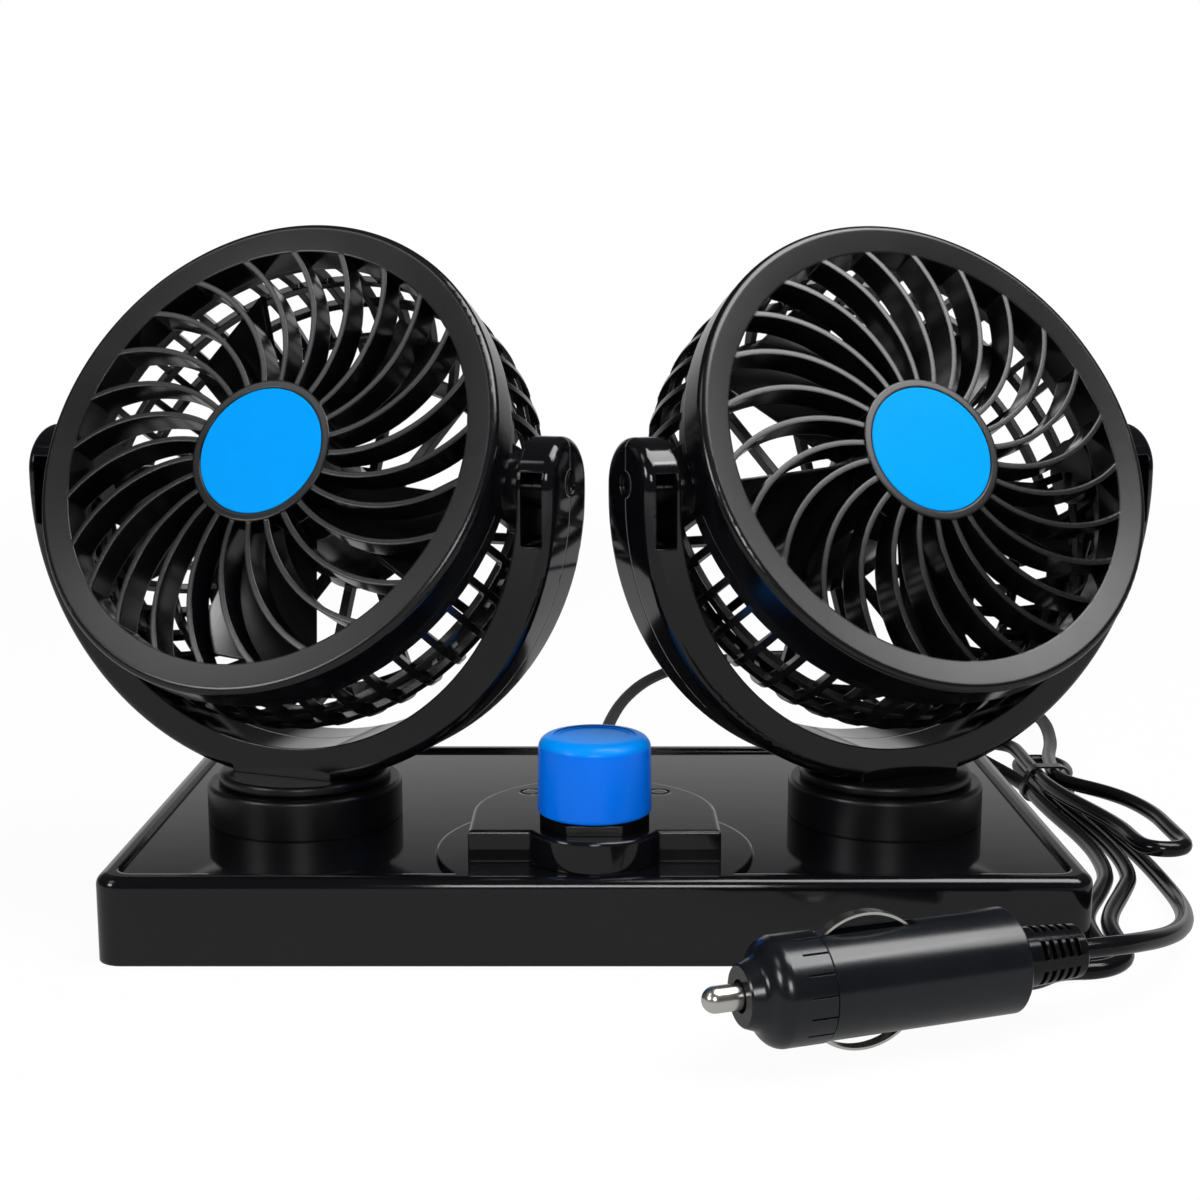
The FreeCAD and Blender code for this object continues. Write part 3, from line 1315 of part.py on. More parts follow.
# Tail: from the hank under the short loop to the plug
hank_end = hank_stations[-1][0]
plug_angle = math.radians(s.plug_heading.value)
tail_way = Vector(-math.cos(plug_angle), -math.sin(plug_angle), 0)
plug_tail = Vector(s.plug_tail_x.value, s.plug_tail_y.value, plug_z.value)
tail_points = [
    tuple(hank_end), tuple(hank_end + leave_way * 12), (137.2, 30, floor_z), (138.2, 9, floor_z),
    (137.6, -12, floor_z), (135.2, -31, 3.4), (129.6, -49.5, 6.0), (120.6, -66.5, 9.4),
    tuple(plug_tail + tail_way * 14 + Vector(0, 1.6, -1.0)),
    tuple(plug_tail + tail_way * 6 + Vector(0, 0, -0.1)), tuple(plug_tail),
]
shaped("cord_tail", tube(route_edges(tail_points, "cord_tail"), cord_radius, "cord_tail"))

# Tie: a black band drawn tight round the outer strands
tie_thick = 0.6
tie_width = 3.6
tie_inside = cord_radius + tie_under - tie_thick
tie_strands = [(-step, waist_z), (step, waist_z), (step * 0.7, upper_z), (step * -0.6, upper_z)]
tie_body = new_body("cord_tie", ((tie_x, tie_y, 0), [(X_AXIS, 90)]))


def tie_outline(reach):
    """The line that runs round the outer strands at a distance from their middles, anticlockwise."""
    corners = []
    for (x, z), (next_x, next_z) in zip(tie_strands, tie_strands[1:] + tie_strands[:1]):
        length = math.hypot(next_x - x, next_z - z)
        out_x = (next_z - z) / length * reach
        out_z = (x - next_x) / length * reach
        corners += [(x + out_x, z + out_z), (next_x + out_x, next_z + out_z, reach)]
    return corners


tie_band = draw(tie_body, "Band", "XY_Plane", [tie_outline(tie_inside + tie_thick), tie_outline(tie_inside)])
pad(tie_body, tie_band, tie_width, both=True)

# Build, test and write
doc.recompute()
for item in doc.Objects:
    if "Invalid" in item.State or "Error" in item.State:
        raise RuntimeError(f"{item.Name} ({item.Label}) failed: {item.State}")
for item in nodes:
    if item.Shape.isNull() or not item.Shape.isValid():
        raise RuntimeError(f"{item.Label} has no valid shape")
os.makedirs("parts", exist_ok=True)
for item in nodes:
    item.Shape.exportStep(f"parts/{item.Label}.step")
    print(f"{item.Label}: {len(item.Shape.Solids)} solids, {item.Shape.Volume:.0f} cubic mm")
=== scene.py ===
import math

import bpy
from mathutils import Euler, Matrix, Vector


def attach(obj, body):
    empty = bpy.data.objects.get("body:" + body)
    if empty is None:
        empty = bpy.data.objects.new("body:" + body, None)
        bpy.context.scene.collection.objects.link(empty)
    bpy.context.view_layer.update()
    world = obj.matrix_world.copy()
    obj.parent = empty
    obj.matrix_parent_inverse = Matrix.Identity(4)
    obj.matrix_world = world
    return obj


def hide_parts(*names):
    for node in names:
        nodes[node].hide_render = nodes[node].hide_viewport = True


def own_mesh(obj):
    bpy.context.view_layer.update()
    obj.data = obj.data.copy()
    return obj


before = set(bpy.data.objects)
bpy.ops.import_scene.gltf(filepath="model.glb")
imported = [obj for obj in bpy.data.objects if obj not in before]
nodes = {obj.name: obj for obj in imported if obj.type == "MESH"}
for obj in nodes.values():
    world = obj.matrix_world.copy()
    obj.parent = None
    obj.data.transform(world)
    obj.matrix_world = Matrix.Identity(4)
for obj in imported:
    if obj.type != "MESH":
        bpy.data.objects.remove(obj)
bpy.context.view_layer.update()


# Camera: stands in front of the fan a little above the heads and looks down at the base, with the
# picture's whole square filled by the object from the left yoke to the hank of cord.
camera_data = bpy.data.cameras.new("photo_camera")
camera_data.sensor_width = 36.0
camera_data.lens = 52.5
camera_data.clip_start = 0.01
camera_tilt = 80.71
camera = bpy.data.objects.new("photo_camera", camera_data)
camera.location = (0.0012, -0.4166, 0.138)
camera.rotation_euler = (math.radians(camera_tilt), 0, 0)
bpy.context.scene.collection.objects.link(camera)
bpy.context.scene.camera = camera


# Cord: a round black two core lead in soft vinyl, drawn straight out of the gland, laid on the floor
# in one wide bend behind the right head, folded into a small hank and tied, then led to the plug.
# It is one round curve through points in millimetres, lying on the floor, in the tie or on top.
MM = 0.001
cord_radius = 2.0
fold_step = 45
lying, tied, upper = cord_radius, 2.8, 7.5


def fold_points(centre, radius, first, last, height):
    """Control points of a half or quarter turn about a centre, between two angles in degrees."""
    count = round(abs(last - first) / fold_step)
    step = (last - first) / count
    reach = radius / math.cos(math.radians(step / 2))
    angles = [math.radians(first + step * (number + 0.5)) for number in range(count)]
    return [(centre[0] + reach * math.cos(angle), centre[1] + reach * math.sin(angle), height)
            for angle in angles]


cord_route = [
    # from the gland along the floor and round behind the right head
    (0, 74.25, 9.2), (0.5, 96.25, 7.2), (2, 120.25, 3.6), (4, 158.25, lying),
    (10, 198.25, lying), (21, 235.25, lying), (41, 264.25, lying), (73, 279.25, lying),
    (107, 269.25, lying), (133, 240.25, lying), (146.5, 204.25, lying), (149, 170.25, 3.2),
    (145.5, 137.25, upper), (140.5, 109.25, upper), (135, 92, upper),
    # the short loop on top of the hank
    (132.6, 79, upper), (130.4, 65.1, upper), (143.5, 49.7, upper), (147.9, 32.6, upper),
    (147.4, 16, upper),
    *fold_points((141.4, 6.0), 6.0, 0, -180, upper),
    (135.4, 21.5, upper), (126.7, 54, upper), (126.7, 79, upper), (127.2, 93.5, upper),
    *fold_points((120.0, 101.0), 7.2, 0, 180, upper),
    # the long loop below it, round the base's front corner and back
    (112.8, 92.1, upper), (124.8, 79.9, tied), (124.8, 54.7, tied), (128.5, 22.2, lying),
    (126.0, -3.0, lying), (120.6, -15.8, lying), (112.4, -32.1, lying), (110.3, -43.5, lying),
    *fold_points((101.5, -53.25), 8.8, 0, -90, lying),
    *fold_points((86.5, -67.45), 5.4, 90, 270, lying),
    (90.9, -72.85, lying), (97.1, -66.75, lying),
    *fold_points((101.5, -53.25), 13.5, -90, 0, lying),
    (115, -43, lying), (118, -32.2, lying), (125.8, -16.3, lying), (131.6, -3.4, lying),
    (133.4, 22.3, lying), (129.5, 54.7, tied), (129.5, 78.5, tied), (128.6, 93.5, lying),
    *fold_points((135.2, 101.0), 6.6, 180, 0, lying),
    # out of the tie on the right and up into the plug's strain relief
    (141.8, 93.0, lying), (134.2, 79.0, tied), (134.2, 68.7, tied), (134.5, 62.0, lying),
    (135.9, 46.0, lying), (137.2, 30, lying), (138.2, 9, lying), (137.6, -12, lying),
    (135.2, -31, 3.4), (129.6, -49.5, 6.0), (120.6, -66.5, 9.4), (108.6, -79.6, 12.7),
    (101.1, -83.8, 13.6), (95.4, -85.8, 13.7),
]
cord_curve = bpy.data.curves.new("supply_cord", "CURVE")
cord_curve.dimensions = "3D"
cord_curve.bevel_depth = cord_radius * MM
cord_curve.bevel_resolution = 5
cord_curve.resolution_u = 8
cord_curve.use_fill_caps = True
cord_spline = cord_curve.splines.new("NURBS")
cord_spline.points.add(len(cord_route) - 1)
for point, (x, y, z) in zip(cord_spline.points, cord_route):
    point.co = (x * MM, y * MM, z * MM, 1)
cord_spline.order_u = 3
cord_spline.use_endpoint_u = True
supply_cord = bpy.data.objects.new("supply_cord", cord_curve)
bpy.context.scene.collection.objects.link(supply_cord)


# Tip spring: the coil of plated wire behind the plug's tip, which in the plug shortens towards the
# fuse as the tip is pressed in, taken from the CAD coil as it stands at rest.
weld = 0.002
tip_spring = bpy.data.objects.new("tip_spring_coil", nodes["plug_tip_spring"].data.copy())
tip_spring.matrix_world = nodes["plug_tip_spring"].matrix_world
bpy.context.scene.collection.objects.link(tip_spring)
bpy.ops.object.select_all(action="DESELECT")
tip_spring.select_set(True)
bpy.context.view_layer.objects.active = tip_spring
bpy.ops.object.transform_apply(location=True, rotation=True, scale=True)
bpy.ops.object.mode_set(mode="EDIT")
bpy.ops.mesh.select_all(action="SELECT")
bpy.ops.mesh.remove_doubles(threshold=weld * MM)
bpy.ops.mesh.normals_make_consistent(inside=False)
bpy.ops.object.mode_set(mode="OBJECT")
bpy.ops.object.shade_smooth()
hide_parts("plug_tip_spring")
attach(tip_spring, "base")
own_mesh(tip_spring)


# Vinyl of the cord, the gland and the plug's strain relief: soft and black with a faint drawn grain,
# glossy on the hank and duller on the far run behind the base.
far_from, far_fade = 105.0, 60.0
relief_depth, edge_samples = 0.1, 6
MIX_SHARE, MIX_LOW, MIX_HIGH, MIX_RESULT = 0, 6, 7, 2


class Shade:
    """One output of a material's nodes. Sums and products on it add Math nodes."""

    def __init__(self, tree, socket=None):
        self.tree = tree
        self.socket = socket

    def node(self, kind, output, settings=None, sockets=None):
        """Adds a node: its settings first, then the values or links of its sockets."""
        made = self.tree.nodes.new("ShaderNode" + kind)
        for name, value in (settings or {}).items():
            setattr(made, name, value)
        for name, value in (sockets or {}).items():
            if isinstance(value, Shade):
                self.tree.links.new(value.socket, made.inputs[name])
            else:
                made.inputs[name].default_value = value
        return Shade(self.tree, made.outputs[output])

    def math(self, operation, first, second=0.0):
        return self.node("Math", 0, {"operation": operation}, {0: first, 1: second})

    def __add__(self, other):
        return self.math("ADD", self, other)

    def __radd__(self, other):
        return self.math("ADD", other, self)

    def __sub__(self, other):
        return self.math("SUBTRACT", self, other)

    def __rsub__(self, other):
        return self.math("SUBTRACT", other, self)

    def __mul__(self, other):
        return self.math("MULTIPLY", self, other)

    def __rmul__(self, other):
        return self.math("MULTIPLY", other, self)

    def __truediv__(self, other):
        return self.math("DIVIDE", self, other)

    def along(self, axis):
        """One of the three parts of a vector."""
        return self.node("SeparateXYZ", axis, None, {0: self})

    def over(self, edge, width):
        """Nought below an edge and one above it, with a soft step of that width."""
        stepped = (self - (edge - width / 2)) / width
        return stepped.math("MAXIMUM", stepped.math("MINIMUM", stepped, 1.0), 0.0)

    def mixed(self, low, high):
        """A colour between two, with this value as the share of the second."""
        return self.node("Mix", MIX_RESULT, {"data_type": "RGBA"},
                         {MIX_SHARE: self, MIX_LOW: low, MIX_HIGH: high})


def new_finish(name, **constants):
    """A material with its shader's even values set, and a start for its nodes."""
    material = bpy.data.materials.new(name)
    material.use_nodes = True
    shader = material.node_tree.nodes["Principled BSDF"]
    for socket, value in constants.items():
        shader.inputs[socket.replace("_", " ")].default_value = value
    start = Shade(material.node_tree)
    place = start.node("TexCoord", "Object")
    return material, shader, start, place


def feed(shader, socket, shade):
    """Links a value to one of the shader's sockets."""
    shader.id_data.links.new(shade.socket, shader.inputs[socket])


def noise(start, place, scale, detail=2.0):
    """Cloudy values about a half, with the given number of lumps to a metre."""
    return start.node("TexNoise", 0, None, {"Vector": place, "Scale": scale, "Detail": detail})


def bump(start, shader, height, strength, edge=0.0):
    """Feeds a fine relief to the shader's normal, over edges that are rounded off by a radius."""
    sockets = {"Height": height, "Strength": strength, "Distance": relief_depth * MM}
    if edge:
        sockets["Normal"] = start.node("Bevel", 0, {"samples": edge_samples}, {"Radius": edge * MM})
    feed(shader, "Normal", start.node("Bump", 0, None, sockets))


def dress(material, *names):
    """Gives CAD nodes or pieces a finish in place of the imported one."""
    for name in names:
        piece = nodes[name] if isinstance(name, str) else name
        piece.data.materials.clear()
        piece.data.materials.append(material)


vinyl, shader, start, place = new_finish("black_vinyl", Specular_IOR_Level=0.3)
cloud = noise(start, place, 90.0)
grain = noise(start, place, 2400.0, 3.0)
far_run = place.along("Y").over(far_from * MM, far_fade * MM)
feed(shader, "Base Color", cloud.mixed((0.003, 0.003, 0.004, 1), (0.006, 0.006, 0.007, 1)))
feed(shader, "Roughness", 0.1 + 0.08 * cloud + 0.4 * far_run)
bump(start, shader, grain, 0.03, edge=0.2)
dress(vinyl, supply_cord, "cord_gland", "plug_strain_relief")
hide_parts("cord_back", "cord_hank", "cord_tail")
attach(supply_cord, "base")


# Gloss black moulding: polished ABS of the base, the yokes and the switch housing, with the very
# slight waviness that a moulded face shows in its reflections, and small rounded edges.
SIDES = ("left", "right")
gloss, shader, start, place = new_finish("gloss_black_abs", Specular_IOR_Level=0.5)
cloud = noise(start, place, 40.0)
ripple = noise(start, place, 160.0)
feed(shader, "Base Color", cloud.mixed((0.002, 0.002, 0.003, 1), (0.005, 0.005, 0.006, 1)))
feed(shader, "Roughness", 0.05 + 0.06 * cloud)
bump(start, shader, ripple, 0.05, edge=0.7)
dress(gloss, "base_shell", "switch_housing")
for side in SIDES:
    dress(gloss, f"{side}_yoke_front", f"{side}_yoke_rear")


# Turntables: black ABS rings with a softer sheen than the base, a fine grain and rounded edges. The
# collar is fixed to the base, and the disc above it turns with the yoke.
ring_black, shader, start, place = new_finish("ring_black_abs", Specular_IOR_Level=0.5)
cloud = noise(start, place, 50.0)
grain = noise(start, place, 3200.0)
feed(shader, "Base Color", cloud.mixed((0.003, 0.003, 0.004, 1), (0.006, 0.006, 0.007, 1)))
feed(shader, "Roughness", 0.3 + 0.08 * cloud)
bump(start, shader, grain, 0.04, edge=0.7)
for side in SIDES:
    dress(ring_black, f"{side}_swivel_collar", f"{side}_swivel_disc")


# Satin black moulding: fine spark textured ABS of the rear guards, the impellers, the axles and
# washers, the switch and the plate below the base.
satin, shader, start, place = new_finish("satin_black_abs", Specular_IOR_Level=0.5)
cloud = noise(start, place, 55.0)
grain = noise(start, place, 3200.0)
feed(shader, "Base Color", cloud.mixed((0.004, 0.004, 0.005, 1), (0.008, 0.008, 0.009, 1)))
feed(shader, "Roughness", 0.13 + 0.08 * cloud)
bump(start, shader, grain, 0.06, edge=0.4)
dress(satin, "bottom_plate", "rotary_switch", "switch_shaft", "switch_nut")
for side in SIDES:
    dress(satin, f"{side}_swivel_nut", f"{side}_impeller", f"{side}_rear_guard",
          f"{side}_tilt_axles", f"{side}_tilt_washers")


# Guards: one black ABS moulding on each head, with a satin face on the bezel and the hub, and
# polished vanes and sides. Each is told apart along its own head's axis and snaps onto the rear guard.
swivel_x, swivel_y, pivot_z = 70.0, -6.0, 99.5
head_turn = {"left": (-20.5, 27.0), "right": (23.5, 28.0)}
bezel_inner, hub_radius, seam = 50.2, 17.3, 0.4
head_place = {}
for side, (yaw, tilt) in head_turn.items():
    turn = Euler((math.radians(90 - tilt), 0, math.radians(yaw)))
    middle = Vector((math.copysign(swivel_x, yaw), swivel_y, pivot_z)) * MM
    head_place[side] = (middle, turn)
    guard_finish, shader, start, place = new_finish(
        f"{side}_guard_abs", Specular_IOR_Level=0.5, Coat_Roughness=0.22)
    facing = start.node("TexCoord", "Normal")
    ahead = start.node("VectorMath", "Value", {"operation": "DOT_PRODUCT"},
                       {0: facing, 1: turn.to_matrix() @ Vector((0, 0, 1))})
    own = start.node("Mapping", 0, {"vector_type": "TEXTURE"},
                     {"Vector": place, "Location": middle, "Rotation": turn})
    across, up = own.along("X"), own.along("Y")
    reach = start.math("SQRT", across * across + up * up)
    hub = 1 - reach.over(hub_radius * MM, seam * MM)
    rim = reach.over(bezel_inner * MM, seam * MM) + hub
    face = ahead.over(0.8, 0.1) * rim
    vane_edge = ahead.over(0.5, 0.3) * (1 - rim)
    cloud = noise(start, place, 60.0)
    grain = noise(start, place, 3200.0)
    feed(shader, "Base Color", face.mixed((0.003, 0.003, 0.004, 1), (0.007, 0.007, 0.008, 1)))
    feed(shader, "Roughness", 0.12 + 0.06 * cloud + 0.04 * face + 0.06 * vane_edge)
    feed(shader, "Coat Weight", 0.3 * vane_edge)
    bump(start, shader, grain, 0.05, edge=0.6)
    dress(guard_finish, f"{side}_front_guard")


# Badges: plain blue discs with a soft crown and a thin bevelled rim, each made from a short cylinder
# whose top is inset and raised in steps, and pressed into the seat of its hub.
badge_radius, badge_thick, badge_top, badge_bevel = 15.3, 1.2, 18.0, 0.3
badge_crown = ((0.5, 0.0), (2.5, 0.1), (4.0, 0.1), (4.0, 0.04))
round_sides, smooth_angle = 96, 35.0
upward = 0.9


def edit_faces(piece, wanted):
    """Opens a piece for editing with only the faces that pass a test selected."""
    bpy.ops.object.mode_set(mode="EDIT")
    bpy.ops.mesh.select_all(action="DESELECT")
    bpy.ops.mesh.select_mode(type="FACE")
    bpy.ops.object.mode_set(mode="OBJECT")
    for polygon in piece.data.polygons:
        polygon.select = wanted(polygon)
    bpy.ops.object.mode_set(mode="EDIT")


def add_cylinder(name, radius, depth, middle, sides):
    """A cylinder on the head's or the base's axis, in millimetres, as a start for a piece."""
    bpy.ops.object.select_all(action="DESELECT")
    bpy.ops.mesh.primitive_cylinder_add(
        vertices=sides, radius=radius * MM, depth=depth * MM, location=Vector(middle) * MM)
    piece = bpy.context.object
    piece.name = name
    return piece


def add_bevel(piece, width, segments, angle=40.0):
    """Rounds a piece's sharp edges for good."""
    rounding = piece.modifiers.new("rounding", "BEVEL")
    rounding.width = width * MM
    rounding.segments = segments
    rounding.limit_method = "ANGLE"
    rounding.angle_limit = math.radians(angle)
    bpy.ops.object.modifier_apply(modifier=rounding.name)


def settle(piece, middle=(0, 0, 0), turn=(0, 0, 0)):
    """Puts a piece in its frame, writes its place into its mesh and smooths its round faces."""
    bpy.ops.object.transform_apply(location=True, rotation=True, scale=True)
    piece.location = middle
    piece.rotation_euler = turn
    bpy.ops.object.transform_apply(location=True, rotation=True, scale=True)
    bpy.ops.object.shade_smooth_by_angle(angle=math.radians(smooth_angle))


badge_blue, shader, start, place = new_finish("badge_blue", Roughness=0.42, Specular_IOR_Level=0.03)
cloud = noise(start, place, 120.0)
feed(shader, "Base Color", cloud.mixed((0.0, 0.33, 0.95, 1), (0.0, 0.36, 0.99, 1)))
bump(start, shader, noise(start, place, 4200.0), 0.04)
for side, (middle, turn) in head_place.items():
    badge_middle = (0, 0, badge_top - badge_thick / 2)
    badge = add_cylinder(f"{side}_badge", badge_radius, badge_thick, badge_middle, round_sides)
    edit_faces(badge, lambda polygon: polygon.normal.z > upward)
    for inset, rise in badge_crown:
        bpy.ops.mesh.inset(thickness=inset * MM, depth=0)
        bpy.ops.transform.translate(value=(0, 0, rise * MM))
    bpy.ops.object.mode_set(mode="OBJECT")
    add_bevel(badge, badge_bevel, 3)
    settle(badge, middle, turn)
    dress(badge_blue, badge)
    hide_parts(f"{side}_hub_badge")
    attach(badge, f"{side}_head")


# Knob: blue ABS cap with a drafted side, a broad soft shoulder, a shallow dish on top and a small
# radius below, made from a cylinder that is hollowed from below, and pushed onto the switch's shaft.
# Its top is painted a paler blue than its side, a painted highlight of the light from above.
knob_y, knob_low, knob_height, knob_radius = -41.05, 29.3, 17.2, 12.7
knob_draft, knob_wall, knob_hollow, knob_land = 0.975, 1.8, 5.0, 1.2
knob_rim, rim_slack, level = 11.5, 0.01, 0.99
knob_dish = ((0.6, 0.12), (0.8, 0.1), (2.5, 0.1))
painted_light_from, painted_light_fade = 44.6, 0.8
knob_top = knob_low + knob_height
knob_roundings = ((knob_top, 2.6, 8), (knob_low, 0.9, 4))
knob_blue, shader, start, place = new_finish("knob_blue", Specular_IOR_Level=0.16)
cloud = noise(start, place, 90.0)
# painted highlight: above this height the knob is painted a paler blue, for the light from above
top = place.along("Z").over(painted_light_from * MM, painted_light_fade * MM)
feed(shader, "Base Color", top.mixed((0.0, 0.19, 0.99, 1), (0.0, 0.29, 1.0, 1)))
feed(shader, "Roughness", 0.2 + 0.1 * cloud + 0.08 * top)
bump(start, shader, noise(start, place, 2600.0), 0.03)
knob_middle = (0, knob_y, knob_low + knob_height / 2)
knob = add_cylinder("knob_cap", knob_radius, knob_height, knob_middle, round_sides)
edit_faces(knob, lambda polygon: polygon.normal.z > upward)
bpy.ops.transform.resize(value=(knob_draft, knob_draft, 1))
bpy.ops.object.mode_set(mode="OBJECT")
edit_faces(knob, lambda polygon: polygon.normal.z < -upward)
bpy.ops.mesh.inset(thickness=knob_wall * MM, depth=0)
bpy.ops.mesh.extrude_region_move(TRANSFORM_OT_translate={"value": (0, 0, knob_hollow * MM)})
bpy.ops.object.mode_set(mode="OBJECT")
for wanted_z, width, segments in knob_roundings:
    bpy.ops.object.mode_set(mode="EDIT")
    bpy.ops.mesh.select_all(action="DESELECT")
    bpy.ops.mesh.select_mode(type="EDGE")
    bpy.ops.object.mode_set(mode="OBJECT")
    for edge in knob.data.edges:
        ends = [knob.matrix_world @ knob.data.vertices[number].co for number in edge.vertices]
        outer = all(math.hypot(end.x, end.y - knob_y * MM) > knob_rim * MM for end in ends)
        edge.select = outer and all(abs(end.z - wanted_z * MM) < rim_slack * MM for end in ends)
    bpy.ops.object.mode_set(mode="EDIT")
    bpy.ops.mesh.bevel(offset=width * MM, segments=segments)
    bpy.ops.object.mode_set(mode="OBJECT")
edit_faces(knob, lambda polygon: polygon.normal.z > level and polygon.center.z > 0)
bpy.ops.mesh.inset(thickness=knob_land * MM, depth=0)
for inset, drop in knob_dish:
    bpy.ops.mesh.inset(thickness=inset * MM, depth=0)
    bpy.ops.transform.translate(value=(0, 0, -drop * MM))
bpy.ops.object.mode_set(mode="OBJECT")
settle(knob)
dress(knob_blue, knob, "speed_knob")
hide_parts("speed_knob")
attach(knob, "knob")


# Bright metal: plated steel of the plug's tip, its spring and its contacts, with the cloudy gleam of
# thin plating, and the plainer steel of the shafts and the motors' cans.
chrome, shader, start, place = new_finish("plated_steel", Metallic=1.0)
cloud = noise(start, place, 260.0)
feed(shader, "Base Color", cloud.mixed((0.78, 0.76, 0.72, 1), (0.86, 0.84, 0.8, 1)))
feed(shader, "Roughness", 0.18 + 0.12 * cloud)
dress(chrome, "plug_tip", "plug_contact_upper", "plug_contact_lower", tip_spring)
steel, shader, start, place = new_finish("plain_steel", Metallic=1.0)
cloud = noise(start, place, 320.0)
feed(shader, "Base Color", cloud.mixed((0.4, 0.4, 0.4, 1), (0.55, 0.55, 0.54, 1)))
feed(shader, "Roughness", 0.28 + 0.14 * cloud)
for side in SIDES:
    dress(steel, f"{side}_motor", f"{side}_motor_shaft")


# Screws: zinc plated pan heads with a cross recess, driven from behind into the yokes and the motors
# and from below into the base's bosses. Each set is made of copies of one screw, joined.
screw_radius, screw_head, screw_head_thick, screw_sides, head_round = 1.3, 2.6, 1.8, 32, 0.5
recess_long, recess_wide, recess_deep = 2.8, 0.7, 2.0
yoke_screw_length, motor_screw_length, base_screw_length = 13.0, 3.5, 12.0
yoke_screw_ring, yoke_drop, yoke_screw_low = 64.85, 1.5, -10.7
yoke_screw_angles = (-35, -68, -112, -145)
motor_screw_out, motor_screw_low = 7.56, -38.3
boss_x, boss_y, base_screw_low = 94.5, 46.25, 0.2


def cross_screw(name, length):
    """A screw with its head's face at nought and its shank along Z."""
    head_middle = (0, 0, screw_head_thick / 2)
    screw = add_cylinder(name, screw_head, screw_head_thick, head_middle, screw_sides)
    bpy.ops.object.transform_apply(location=True)
    edit_faces(screw, lambda polygon: polygon.normal.z > upward)
    bpy.ops.mesh.inset(thickness=(screw_head - screw_radius) * MM, depth=0)
    bpy.ops.mesh.extrude_region_move(TRANSFORM_OT_translate={"value": (0, 0, length * MM)})
    bpy.ops.object.mode_set(mode="OBJECT")
    edit_faces(screw, lambda polygon: polygon.normal.z < -upward)
    bpy.ops.mesh.bevel(offset=head_round * MM, segments=3)
    bpy.ops.object.mode_set(mode="OBJECT")
    for bar in ((recess_long, recess_wide), (recess_wide, recess_long)):
        bpy.ops.object.select_all(action="DESELECT")
        bpy.ops.mesh.primitive_cube_add(size=MM, location=(0, 0, 0))
        cutter = bpy.context.object
        cutter.scale = (*bar, recess_deep)
        bpy.ops.object.transform_apply(scale=True)
        bpy.context.view_layer.objects.active = screw
        recess = screw.modifiers.new("recess", "BOOLEAN")
        recess.object = cutter
        recess.operation = "DIFFERENCE"
        bpy.ops.object.modifier_apply(modifier=recess.name)
        bpy.data.objects.remove(cutter)
    return screw


def join_pieces(pieces):
    """Makes one object of several, with their places written into its mesh."""
    bpy.ops.object.select_all(action="DESELECT")
    for piece in pieces:
        piece.select_set(True)
    bpy.context.view_layer.objects.active = pieces[0]
    bpy.ops.object.transform_apply(location=True)
    bpy.ops.object.join()
    return bpy.context.object


def screw_set(name, length, places, middle, turn, node, body):
    """Copies of one screw at their places in a frame, as one piece that stands for a CAD node."""
    first = cross_screw(name, length)
    copies = []
    for place in places:
        copy = bpy.data.objects.new(name, first.data.copy())
        copy.location = Vector(place) * MM
        bpy.context.scene.collection.objects.link(copy)
        copies.append(copy)
    bpy.data.objects.remove(first)
    piece = join_pieces(copies)
    piece.name = name
    settle(piece, middle, turn)
    dress(steel, piece)
    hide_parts(node)
    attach(piece, body)


yoke_screw_places = []
for degrees in yoke_screw_angles:
    angle = math.radians(degrees)
    yoke_screw_places.append((yoke_screw_ring * math.cos(angle),
                              yoke_screw_ring * math.sin(angle) - yoke_drop, yoke_screw_low))
motor_screw_places = [(x, 0, motor_screw_low) for x in (-motor_screw_out, motor_screw_out)]
boss_places = [(x, y, base_screw_low) for x in (-boss_x, boss_x) for y in (-boss_y, boss_y)]
for side, (middle, turn) in head_place.items():
    upright = Euler((math.radians(90), 0, turn.z))
    screw_set(f"{side}_yoke_screw_set", yoke_screw_length, yoke_screw_places, middle, upright,
              f"{side}_yoke_screws", f"{side}_yoke")
    screw_set(f"{side}_motor_screw_set", motor_screw_length, motor_screw_places, middle, turn,
              f"{side}_motor_screws", f"{side}_head")
screw_set("base_screw_set", base_screw_length, boss_places, (0, 0, 0), (0, 0, 0),
          "base_screws", "base")


# Pivot caps: small round plugs in the base's gloss black with a sunk middle, made from short
# cylinders and pressed into the dimples over the tilt axles.
cap_radius, cap_thick, cap_out, cap_up, cap_sides = 2.75, 0.6, 68.75, 1.5, 48
cap_rim, cap_sunk, cap_round = 0.7, 0.25, 0.12
for side, (middle, turn) in head_place.items():
    caps = []
    for way in (-1, 1):
        cap_middle = (0, 0, -cap_thick / 2)
        cap = add_cylinder(f"{side}_pivot_caps", cap_radius, cap_thick, cap_middle, cap_sides)
        bpy.ops.object.transform_apply(location=True)
        edit_faces(cap, lambda polygon: polygon.normal.z > upward)
        bpy.ops.mesh.inset(thickness=cap_rim * MM, depth=0)
        bpy.ops.mesh.extrude_region_move(TRANSFORM_OT_translate={"value": (0, 0, -cap_sunk * MM)})
        bpy.ops.object.mode_set(mode="OBJECT")
        add_bevel(cap, cap_round, 2)
        cap.rotation_euler = (0, math.radians(90 * way), 0)
        cap.location = Vector((way * cap_out, cap_up, 0)) * MM
        bpy.ops.object.transform_apply(location=True, rotation=True)
        caps.append(cap)
    cap = join_pieces(caps)
    settle(cap, middle, Euler((math.radians(90), 0, turn.z)))
    dress(gloss, cap)
    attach(cap, f"{side}_yoke")


# Plug shell: black ABS of the plug's tube and nose, between satin and gloss, with crisp edges. The
# tie round the hank has the same finish.
plug_black, shader, start, place = new_finish("plug_black_abs", Specular_IOR_Level=0.5)
cloud = noise(start, place, 80.0)
feed(shader, "Base Color", cloud.mixed((0.004, 0.005, 0.007, 1), (0.008, 0.009, 0.011, 1)))
feed(shader, "Roughness", 0.18 + 0.06 * cloud)
bump(start, shader, noise(start, place, 2800.0), 0.05, edge=0.12)
dress(plug_black, "plug_body", "plug_nose", "cord_tie")


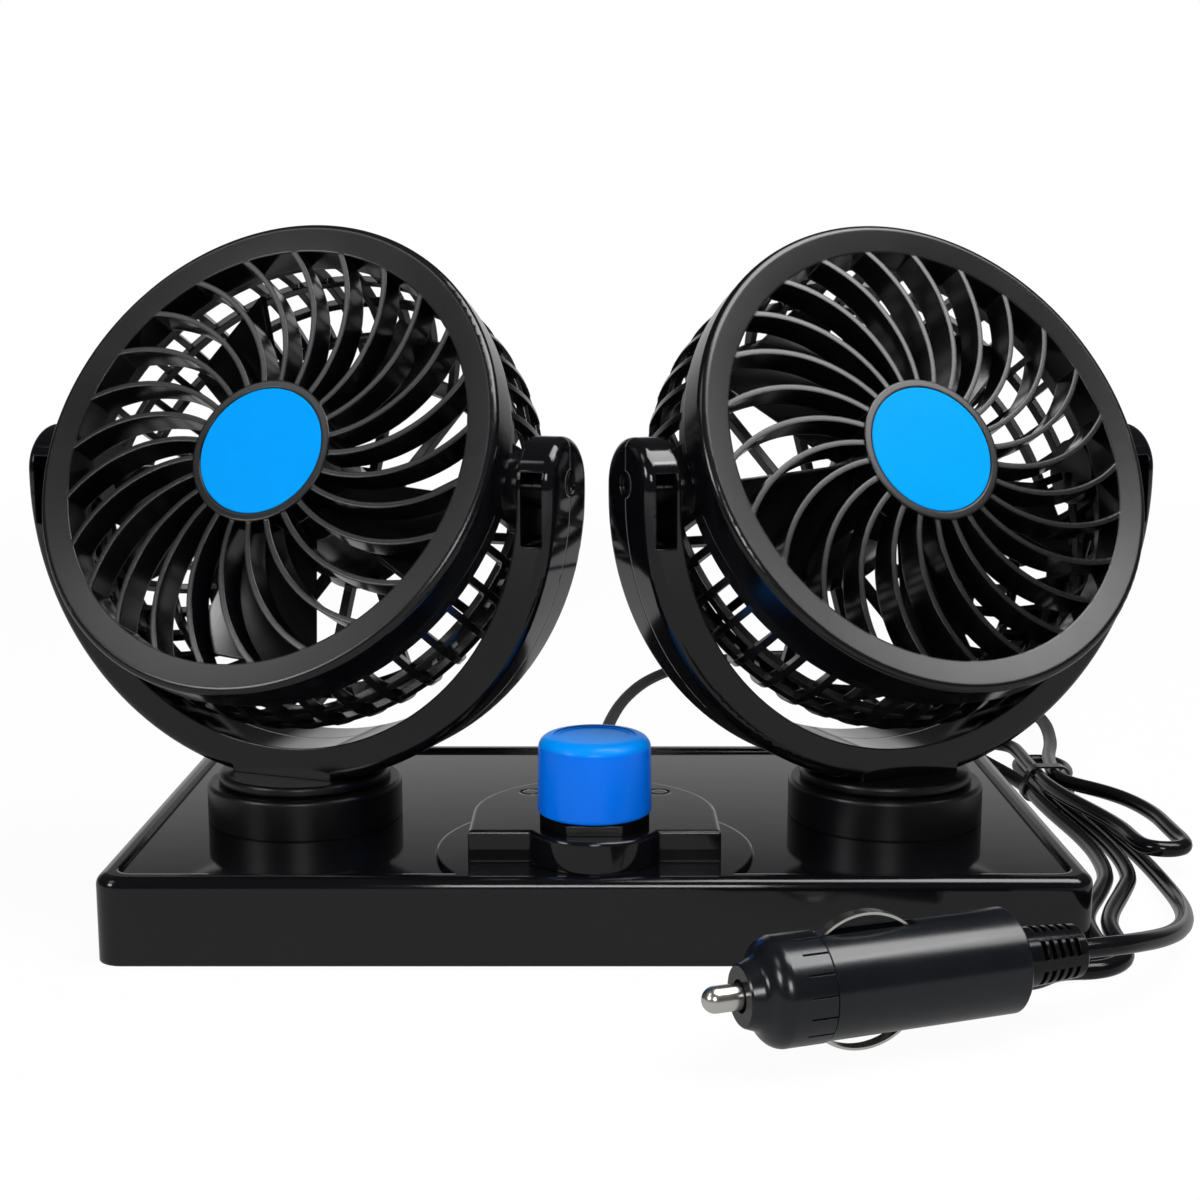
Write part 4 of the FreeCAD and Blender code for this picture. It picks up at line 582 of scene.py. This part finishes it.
# Inner pieces: the leads in the cord's vinyl, the pale ceramic of the resistor, the glass of the fuse
# and the white foam tape that is stuck below the base.
dress(vinyl, "base_wiring", "left_motor_lead", "right_motor_lead")
foam, shader, start, place = new_finish("white_foam", Roughness=0.85)
cells = noise(start, place, 1500.0)
feed(shader, "Base Color", cells.mixed((0.62, 0.62, 0.6, 1), (0.8, 0.8, 0.78, 1)))
bump(start, shader, cells, 0.4)
dress(foam, "adhesive_pads", "speed_resistor")
glass, shader, start, place = new_finish("fuse_glass", Roughness=0.05, Alpha=0.5)
cloud = noise(start, place, 200.0)
feed(shader, "Base Color", cloud.mixed((0.7, 0.76, 0.76, 1), (0.85, 0.9, 0.9, 1)))
dress(glass, "plug_fuse")


# Floor and light: a pale floor that fades to white far off and keeps a faint shadow, and a sky that is
# white to the camera and in reflections is dim, apart from a bright sheet behind the object. Five soft
# boxes stand at the left, the right, above the left head, above the object and in front.
floor_size, shadow_share = 8.0, 0.04
near_reach, near_fade = 0.8, 0.6
aim = (0, 0, 0.06)
soft_boxes = (
    ("left_box", (-1.06, -0.78, 0.67), 0.36, 4.5),
    ("right_box", (0.92, -0.27, 1.09), 0.36, 2.6),
    ("brow_box", (-0.86, -0.33, 1.09), 0.36, 1.0),
    ("top_box", (0.36, -0.1, 0.97), 0.6, 8.8),
    ("front_box", (0.0, -1.2, 0.6), 0.3, 3.5),
)


def grey(value):
    """An even grey as a colour."""
    return (value, value, value, 1)


def straight_rays(start):
    """One for rays from the camera, also those through clear pieces, and nought for the rest."""
    return start.node("LightPath", "Is Camera Ray") + start.node("LightPath", "Is Transmission Ray")


bpy.ops.object.select_all(action="DESELECT")
bpy.ops.mesh.primitive_plane_add(size=floor_size, location=(0, 0, 0))
floor = bpy.context.object
floor.name = "studio_floor"
paper = bpy.data.materials.new("studio_paper")
paper.use_nodes = True
paper.node_tree.nodes.clear()
start = Shade(paper.node_tree)
place = start.node("TexCoord", "Object")
away = start.node("VectorMath", "Value", {"operation": "LENGTH"}, {0: place})
near = 1 - away.over(near_reach, near_fade)
straight = straight_rays(start)
seen = straight + start.node("LightPath", "Is Glossy Ray") * near
seen = seen.math("MINIMUM", seen, 1.0) * (1 - shadow_share * near)
matt = start.node("BsdfDiffuse", 0, None, {"Color": grey(0.88)})
pale = straight.mixed(grey(0.42), grey(1))
white = start.node("Emission", 0, None, {"Color": pale, "Strength": 1.0})
both = start.node("MixShader", 0, None, {0: seen, 1: matt, 2: white})
end = paper.node_tree.nodes.new("ShaderNodeOutputMaterial")
paper.node_tree.links.new(both.socket, end.inputs["Surface"])
floor.data.materials.append(paper)

sky = bpy.data.worlds.new("studio_sky")
sky.use_nodes = True
bpy.context.scene.world = sky
start = Shade(sky.node_tree)
way = start.node("TexCoord", "Generated")
across = start.math("ABSOLUTE", way.along("X"))
behind = way.along("Y").over(0.35, 0.5)
lifted = way.along("Z")
sheet = behind * (1 - across.over(0.58, 0.46)) * (1 - lifted.over(0.27, 0.1))
pale = straight_rays(start).mixed(sheet.mixed(grey(0.06), grey(0.72)), grey(1))
backdrop = sky.node_tree.nodes["Background"]
sky.node_tree.links.new(pale.socket, backdrop.inputs["Color"])

for name, place, size, power in soft_boxes:
    lamp = bpy.data.lights.new(name, "AREA")
    lamp.size = size
    lamp.energy = power
    soft_box = bpy.data.objects.new(name, lamp)
    soft_box.location = place
    soft_box.rotation_euler = (Vector(aim) - Vector(place)).to_track_quat("-Z", "Y").to_euler()
    bpy.context.scene.collection.objects.link(soft_box)

bpy.context.scene.view_settings.view_transform = "Standard"
bpy.context.view_layer.update()
